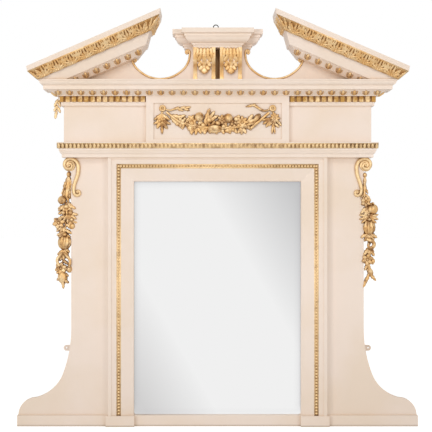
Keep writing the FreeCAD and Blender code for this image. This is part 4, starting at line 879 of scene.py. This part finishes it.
GARLAND_RIGHT = {
    "strands": (
        (((-18, 0, 4), (-20, -60, 3), (-14, -110, 2), (6, -150, 2), (0, -220, 2), (-4, -290, 2), (-8, -350, 2),
          (2, -400, 2), (-18, -450, 2)), 5.0, 0.8, 0.5),
        (((-12, -262, 14), (10, -268, 20), (20, -284, 20), (6, -300, 20), (-10, -290, 20), (-4, -278, 20)),
         8.0, 0.9, 0.6)),
    "trails": (
        (((-18, -52), (-18, -84), (-12, -110)), 14, 30, 13, 9, 26),
        (((-8, -120), (2, -160), (-2, -190)), 11, 32, 20, 13, 66),
        (((4, -250), (6, -300), (2, -350), (4, -400), (-8, -436)), 24, 20, 15, 9, 46)),
    "tufts": (
        (-16, -80, (142, 200), 36, 17, 11), (-8, -134, (-132, -160, 170), 38, 20, 12),
        (-2, -172, (-78, -104, -130, 76, 104, 130), 40, 18, 14),
        (-2, -238, (146, 176, 208, -118, 118), 38, 22, 13), (0, -296, (150, 180, 216), 40, 22, 12),
        (-4, -356, (172, 205), 36, 17, 11), (0, -398, (140, 200), 42, 17, 10)),
    "leaves": (
        (-18, -8, 182, 90, 19, 12, 3, 7), (-26, -40, 190, 60, 10, 8, 2, 4), (-8, -412, 200, 48, 16, 9, 3, 3)),
    "flowers": ((-14, -112, 22, 6, 14), (-8, -344, 24, 6, 14, 10)),
    "bosses": (
        (-18, -3, 9, 11, 13), (14, -141, 23, 22, 26, 10, 6, 0.2), (14, -118, 6, 6, 24),
        (-2, -214, 28, 33, 28, 0, 9, 0.26), (-2, -182, 10, 8, 27), (14, -350, 10, 12, 16),
        (4, -394, 13, 18, 16, -20, 5)),
}

SPRAY = {
    "strands": ((((6, -2, 3), (4, -30, 4), (0, -62, 4), (-4, -86, 3)), 2.6, 0.5),),
    "leaves": ((4, -10, 208, 34, 15, 5, 2, 2), (6, -14, 164, 30, 14, 5, 2, 2), (2, -34, 210, 30, 15, 5, 2, 2),
               (3, -40, 158, 28, 14, 5, 2, 2), (-2, -56, 190, 34, 15, 5, 2, 2)),
    "bosses": ((1, -40, 5, 6, 8),),
}


class OVERMANTEL_OT_tablet(bpy.types.Operator):
    """Carve the swag of fruit and flowers, its rosettes, ribbons and drops on the frieze's tablet"""
    bl_idname = "overmantel.tablet"
    bl_label = "Carve the tablet"

    def execute(self, context):
        tablet = reach("frieze_tablet")
        surface = upright(reach("tablet_swag").back, (tablet.left + tablet.right) / 2, tablet.low)
        self.heaped(Carver(surface), "swag", SWAG)
        self.rosettes(Carver(surface), tablet.low)
        self.heaped(Carver(surface), "drops", DROPS)
        self.heaped(Carver(surface), "ribbons", RIBBONS)
        return {"FINISHED"}

    def heaped(self, carver, kind, shapes):
        carver.heap(**shapes)
        carver.gild(f"gilt_{kind}", f"tablet_{kind}", leaf="tarnished_gold_leaf")

    def rosettes(self, carver, foot):
        """A disc, a ring on it and a bud in the ring, where each end of the swag hangs."""
        rosette = reach("tablet_rosettes")
        radius = (rosette.high - rosette.low) / 2
        height = rosette.low + radius - foot
        for side in SIDES.values():
            across = (rosette.right - radius) * side
            carver.boss(across, height, radius, radius, rise=5)
            carver.strand(arc((across, height), radius * 0.68, 0, 330, 11, out=5.5), radius=4.4, closed=True)
            carver.boss(across, height, 3.2, 3.2, rise=6.5)
        carver.gild("gilt_rosettes", "tablet_rosettes")


class OVERMANTEL_OT_scoop_edges(bpy.types.Operator):
    """Carve the gilt strands that edge the two scoops and curl up at their ends"""
    bl_idname = "overmantel.scoop_edges"
    bl_label = "Carve the scoops' edges"

    def execute(self, context):
        sizes = measures(context.scene)
        radius, curl, middle = sizes.scoop_strand, sizes.scoop_curl, sizes.scoop_centre
        meet, tip = math.degrees(sizes.scoop_meet), math.degrees(sizes.scoop_tip)
        edge = reach("tympanum_right")
        carver = Carver(upright(edge.front))
        spring = edge.low + sizes.scoop_spring
        floor_centre = (middle, edge.low + sizes.scoop_floor + sizes.scoop_floor_radius)
        set_in = sizes.scoop_half_width - sizes.scoop_side_radius
        inner, outer = (middle - set_in, spring), (middle + set_in, spring)
        wide = sizes.scoop_side_radius + radius
        out = radius * 0.5
        first = (inner[0] - wide + curl, spring + sizes.scoop_lift)
        line = arc(first, curl, -90, 180, 7, out + 1)
        line += arc(inner, wide, 180, 180 + meet, 4, out)
        line += arc(floor_centre, sizes.scoop_floor_radius + radius, 180 + meet, 360 - meet, 9, out)
        line += arc(outer, wide, -meet, -tip, 4, out)
        last = (line[-1][0] - curl, line[-1][1] + 1)
        line += arc(last, curl, 0, 270, 7, out + 1)
        for side in SIDES.values():
            carver.strand(mirrored(line, side), radius)
            for x, y in (first, last):
                carver.boss(x * side, y, curl, curl, rise=radius * 1.6)
        carver.gild("gilt_scoop_edges", "scoop_edges")
        return {"FINISHED"}


class OVERMANTEL_OT_console_leaves(bpy.types.Operator):
    """Carve the acanthus leaves that hang on the two consoles"""
    bl_idname = "overmantel.console_leaves"
    bl_label = "Carve the consoles' leaves"

    def execute(self, context):
        sizes = measures(context.scene)
        shoulder, waist = sizes.console_shoulder, sizes.console_waist
        console = reach("console_right")
        middle, top = (console.left + console.right) / 2, console.high

        def surface(x, y, out):
            drop = min(1.0, max(0.0, (top - y - shoulder) / (waist - shoulder)))
            return at(x, console.front - sizes.console_fall * drop * drop * (3 - 2 * drop) + out, y)

        carver = Carver(surface)
        for side in SIDES.values():
            x = middle * side
            carver.leaf(x, top - 2, 180, long=102, wide=66, rise=5, lobes=5)
            for shift in (-25, 25, -13, 13, 0):
                carver.leaf(x + shift, top - 1, 180 - 0.25 * shift, long=46, wide=21, rise=8, curl=3)
            for drop, out, spread, long in ((34, 13, 30, 28), (52, 10, 32, 28), (70, 6, 36, 24)):
                for lobe in (-1, 1):
                    carver.leaf(x + out * lobe, top - drop, 180 - spread * lobe, long, wide=24, rise=9, lobes=2,
                                curl=5)
            carver.leaf(x, top - 26, 180, long=62, wide=26, rise=10, lobes=4, curl=2)
            carver.leaf(x, top - 78, 180, long=27, wide=32, rise=11, lobes=0, curl=5)
        carver.gild("gilt_console_leaves", "console_leaves")
        return {"FINISHED"}


class OVERMANTEL_OT_scrolls(bpy.types.Operator):
    """Carve the two scrolls at the heads of the wings"""
    bl_idname = "overmantel.scrolls"
    bl_label = "Carve the scrolls"

    def execute(self, context):
        radius = measures(context.scene).strand
        scroll = reach("wing_scrolls")
        carver = Carver(upright(scroll.back))
        out = radius * 0.6
        # Places in from the outer edge and down from the top: the two spirals and the arm between them
        big, *arm, small = ((scroll.right - inward, scroll.high - down) for inward, down in (
            (22, 23), (59, 42), (56, 62), (49, 82), (42, 100), (39, 118), (56, 133)))
        line = arc(big, 8, -270, 180, 17, out, fade=4.6)
        line += [(x, y, out) for x, y in arm]
        line += arc(small, 15, -5, -320, 11, out, fade=0.35)
        for side in SIDES.values():
            carver.strand(mirrored(line, side), radius, first=0.6, last=0.55)
            for (x, y), eye, disc in ((big, 6, 25), (small, 5, 13)):
                carver.boss(x * side, y, eye, eye, rise=8, seat=out)
                carver.boss(x * side, y, disc, disc, rise=4)
        carver.gild("gilt_scrolls", "wing_scrolls", leaf="pale_gold_leaf")
        return {"FINISHED"}


class OVERMANTEL_OT_garlands(bpy.types.Operator):
    """Carve the two garlands of fruit, flowers and leaves, and the spray at the frieze's end"""
    bl_idname = "overmantel.garlands"
    bl_label = "Carve the garlands"

    def execute(self, context):
        sizes = measures(context.scene)
        for node, shapes, ground, leaf in (
                ("garland_left", GARLAND_LEFT, sizes.garland_ground, "tarnished_gold_leaf"),
                ("garland_right", GARLAND_RIGHT, sizes.garland_ground, "tarnished_gold_leaf"),
                ("leaf_spray", SPRAY, sizes.spray_ground, "pale_gold_leaf")):
            hang = reach(node)
            carver = Carver(upright(hang.back + ground, (hang.left + hang.right) / 2, hang.high))
            carver.heap(**shapes)
            carver.gild(f"gilt_{node}", node, leaf=leaf)
        return {"FINISHED"}


class OVERMANTEL_OT_stage(bpy.types.Operator):
    """Set the floor, the white surroundings, the lamps and the camera"""
    bl_idname = "overmantel.stage"
    bl_label = "Set the stage"

    def execute(self, context):
        stage = context.scene.overmantel_stage
        self.surroundings(context.scene, stage)
        self.floor(stage, opaque(context.scene.overmantel_colours.floor))
        for name in ("key", "fill", "top"):
            self.lamp(name, stage)
        self.camera(context.scene, stage)
        return {"FINISHED"}

    def seen(self, tree, unseen, seen):
        """One strength for what the camera or a glossy surface sees, another for what only lights."""
        path = add(tree, "LightPath")
        either = add(tree, "Math", {"operation": "MAXIMUM"},
                     {0: path.outputs["Is Camera Ray"], 1: path.outputs["Is Glossy Ray"]})
        return ramp(tree, either.outputs["Value"], least=unseen, most=seen)

    def surroundings(self, scene, stage):
        """White to the eye, softer as a light."""
        world = bpy.data.worlds.new("white_surroundings")
        world.use_nodes = True
        tree = world.node_tree
        tree.nodes.clear()
        shade = add(tree, "Background", {"Color": WHITE},
                    {"Strength": self.seen(tree, stage.ambient, 1.0)})
        add(tree, "OutputWorld", links={"Surface": shade.outputs["Background"]})
        scene.world = world

    def floor(self, stage, pale):
        """A pale floor that keeps the object's soft shadow and is otherwise white to the eye."""
        settings = {"Roughness": 0.9, "Base Color": pale, "Emission Color": WHITE}
        material, tree, shader = finish("pale_floor", settings)
        tree.links.new(self.seen(tree, 0.0, stage.floor_glow), shader.inputs["Emission Strength"])
        bm = bmesh.new()
        bmesh.ops.create_grid(bm, x_segments=1, y_segments=1, size=stage.floor_reach)
        floor = shaped("floor", bm, material)
        floor.visible_glossy = False

    def lamp(self, name, stage):
        """A wide lamp that points at the aim."""
        light = bpy.data.lights.new(f"{name}_lamp", "AREA")
        light.energy = getattr(stage, name)
        light.size = stage.lamp_width
        lamp = placed(f"{name}_lamp", light)
        lamp.location = getattr(stage, f"{name}_place")
        lamp.rotation_euler = (Vector(stage.aim) - lamp.location).to_track_quat("-Z", "Y").to_euler()

    def camera(self, scene, stage):
        """A level camera that looks straight at the wall, shifted sideways."""
        lens = bpy.data.cameras.new("camera")
        lens.sensor_width = stage.sensor
        lens.lens = stage.lens
        lens.shift_x = stage.shift
        camera = placed("camera", lens)
        camera.location = stage.eye
        camera.rotation_euler = (math.pi / 2, 0.0, 0.0)
        scene.camera = camera
        scene.view_settings.view_transform = "Standard"


OPERATORS = (OVERMANTEL_OT_joinery, OVERMANTEL_OT_bead_strips, OVERMANTEL_OT_lower_leaves, OVERMANTEL_OT_eggs,
             OVERMANTEL_OT_raking_leaves, OVERMANTEL_OT_tablet, OVERMANTEL_OT_scoop_edges,
             OVERMANTEL_OT_console_leaves, OVERMANTEL_OT_scrolls, OVERMANTEL_OT_garlands, OVERMANTEL_OT_stage)


class OVERMANTEL_PT_panel(bpy.types.Panel):
    """Lists the steps that finish the mirror"""
    bl_label = "Overmantel mirror"
    bl_idname = "OVERMANTEL_PT_panel"
    bl_space_type = "VIEW_3D"
    bl_region_type = "UI"
    bl_category = "Overmantel"

    def draw(self, context):
        for step in OPERATORS:
            self.layout.operator(step.bl_idname)


GROUPS = {"overmantel_colours": OvermantelColours, "overmantel_carving": OvermantelCarving,
          "overmantel_mouldings": OvermantelMouldings, "overmantel_stage": OvermantelStage}


def register():
    for kind in (*GROUPS.values(), *OPERATORS, OVERMANTEL_PT_panel):
        bpy.utils.register_class(kind)
    for name, kind in GROUPS.items():
        setattr(bpy.types.Scene, name, bpy.props.PointerProperty(type=kind))


def unregister():
    for name in GROUPS:
        delattr(bpy.types.Scene, name)
    for kind in reversed((*GROUPS.values(), *OPERATORS, OVERMANTEL_PT_panel)):
        bpy.utils.unregister_class(kind)


def main():
    register()
    for step in OPERATORS:
        family, name = step.bl_idname.split(".")
        getattr(getattr(bpy.ops, family), name)()


if __name__ == "__main__":
    main()
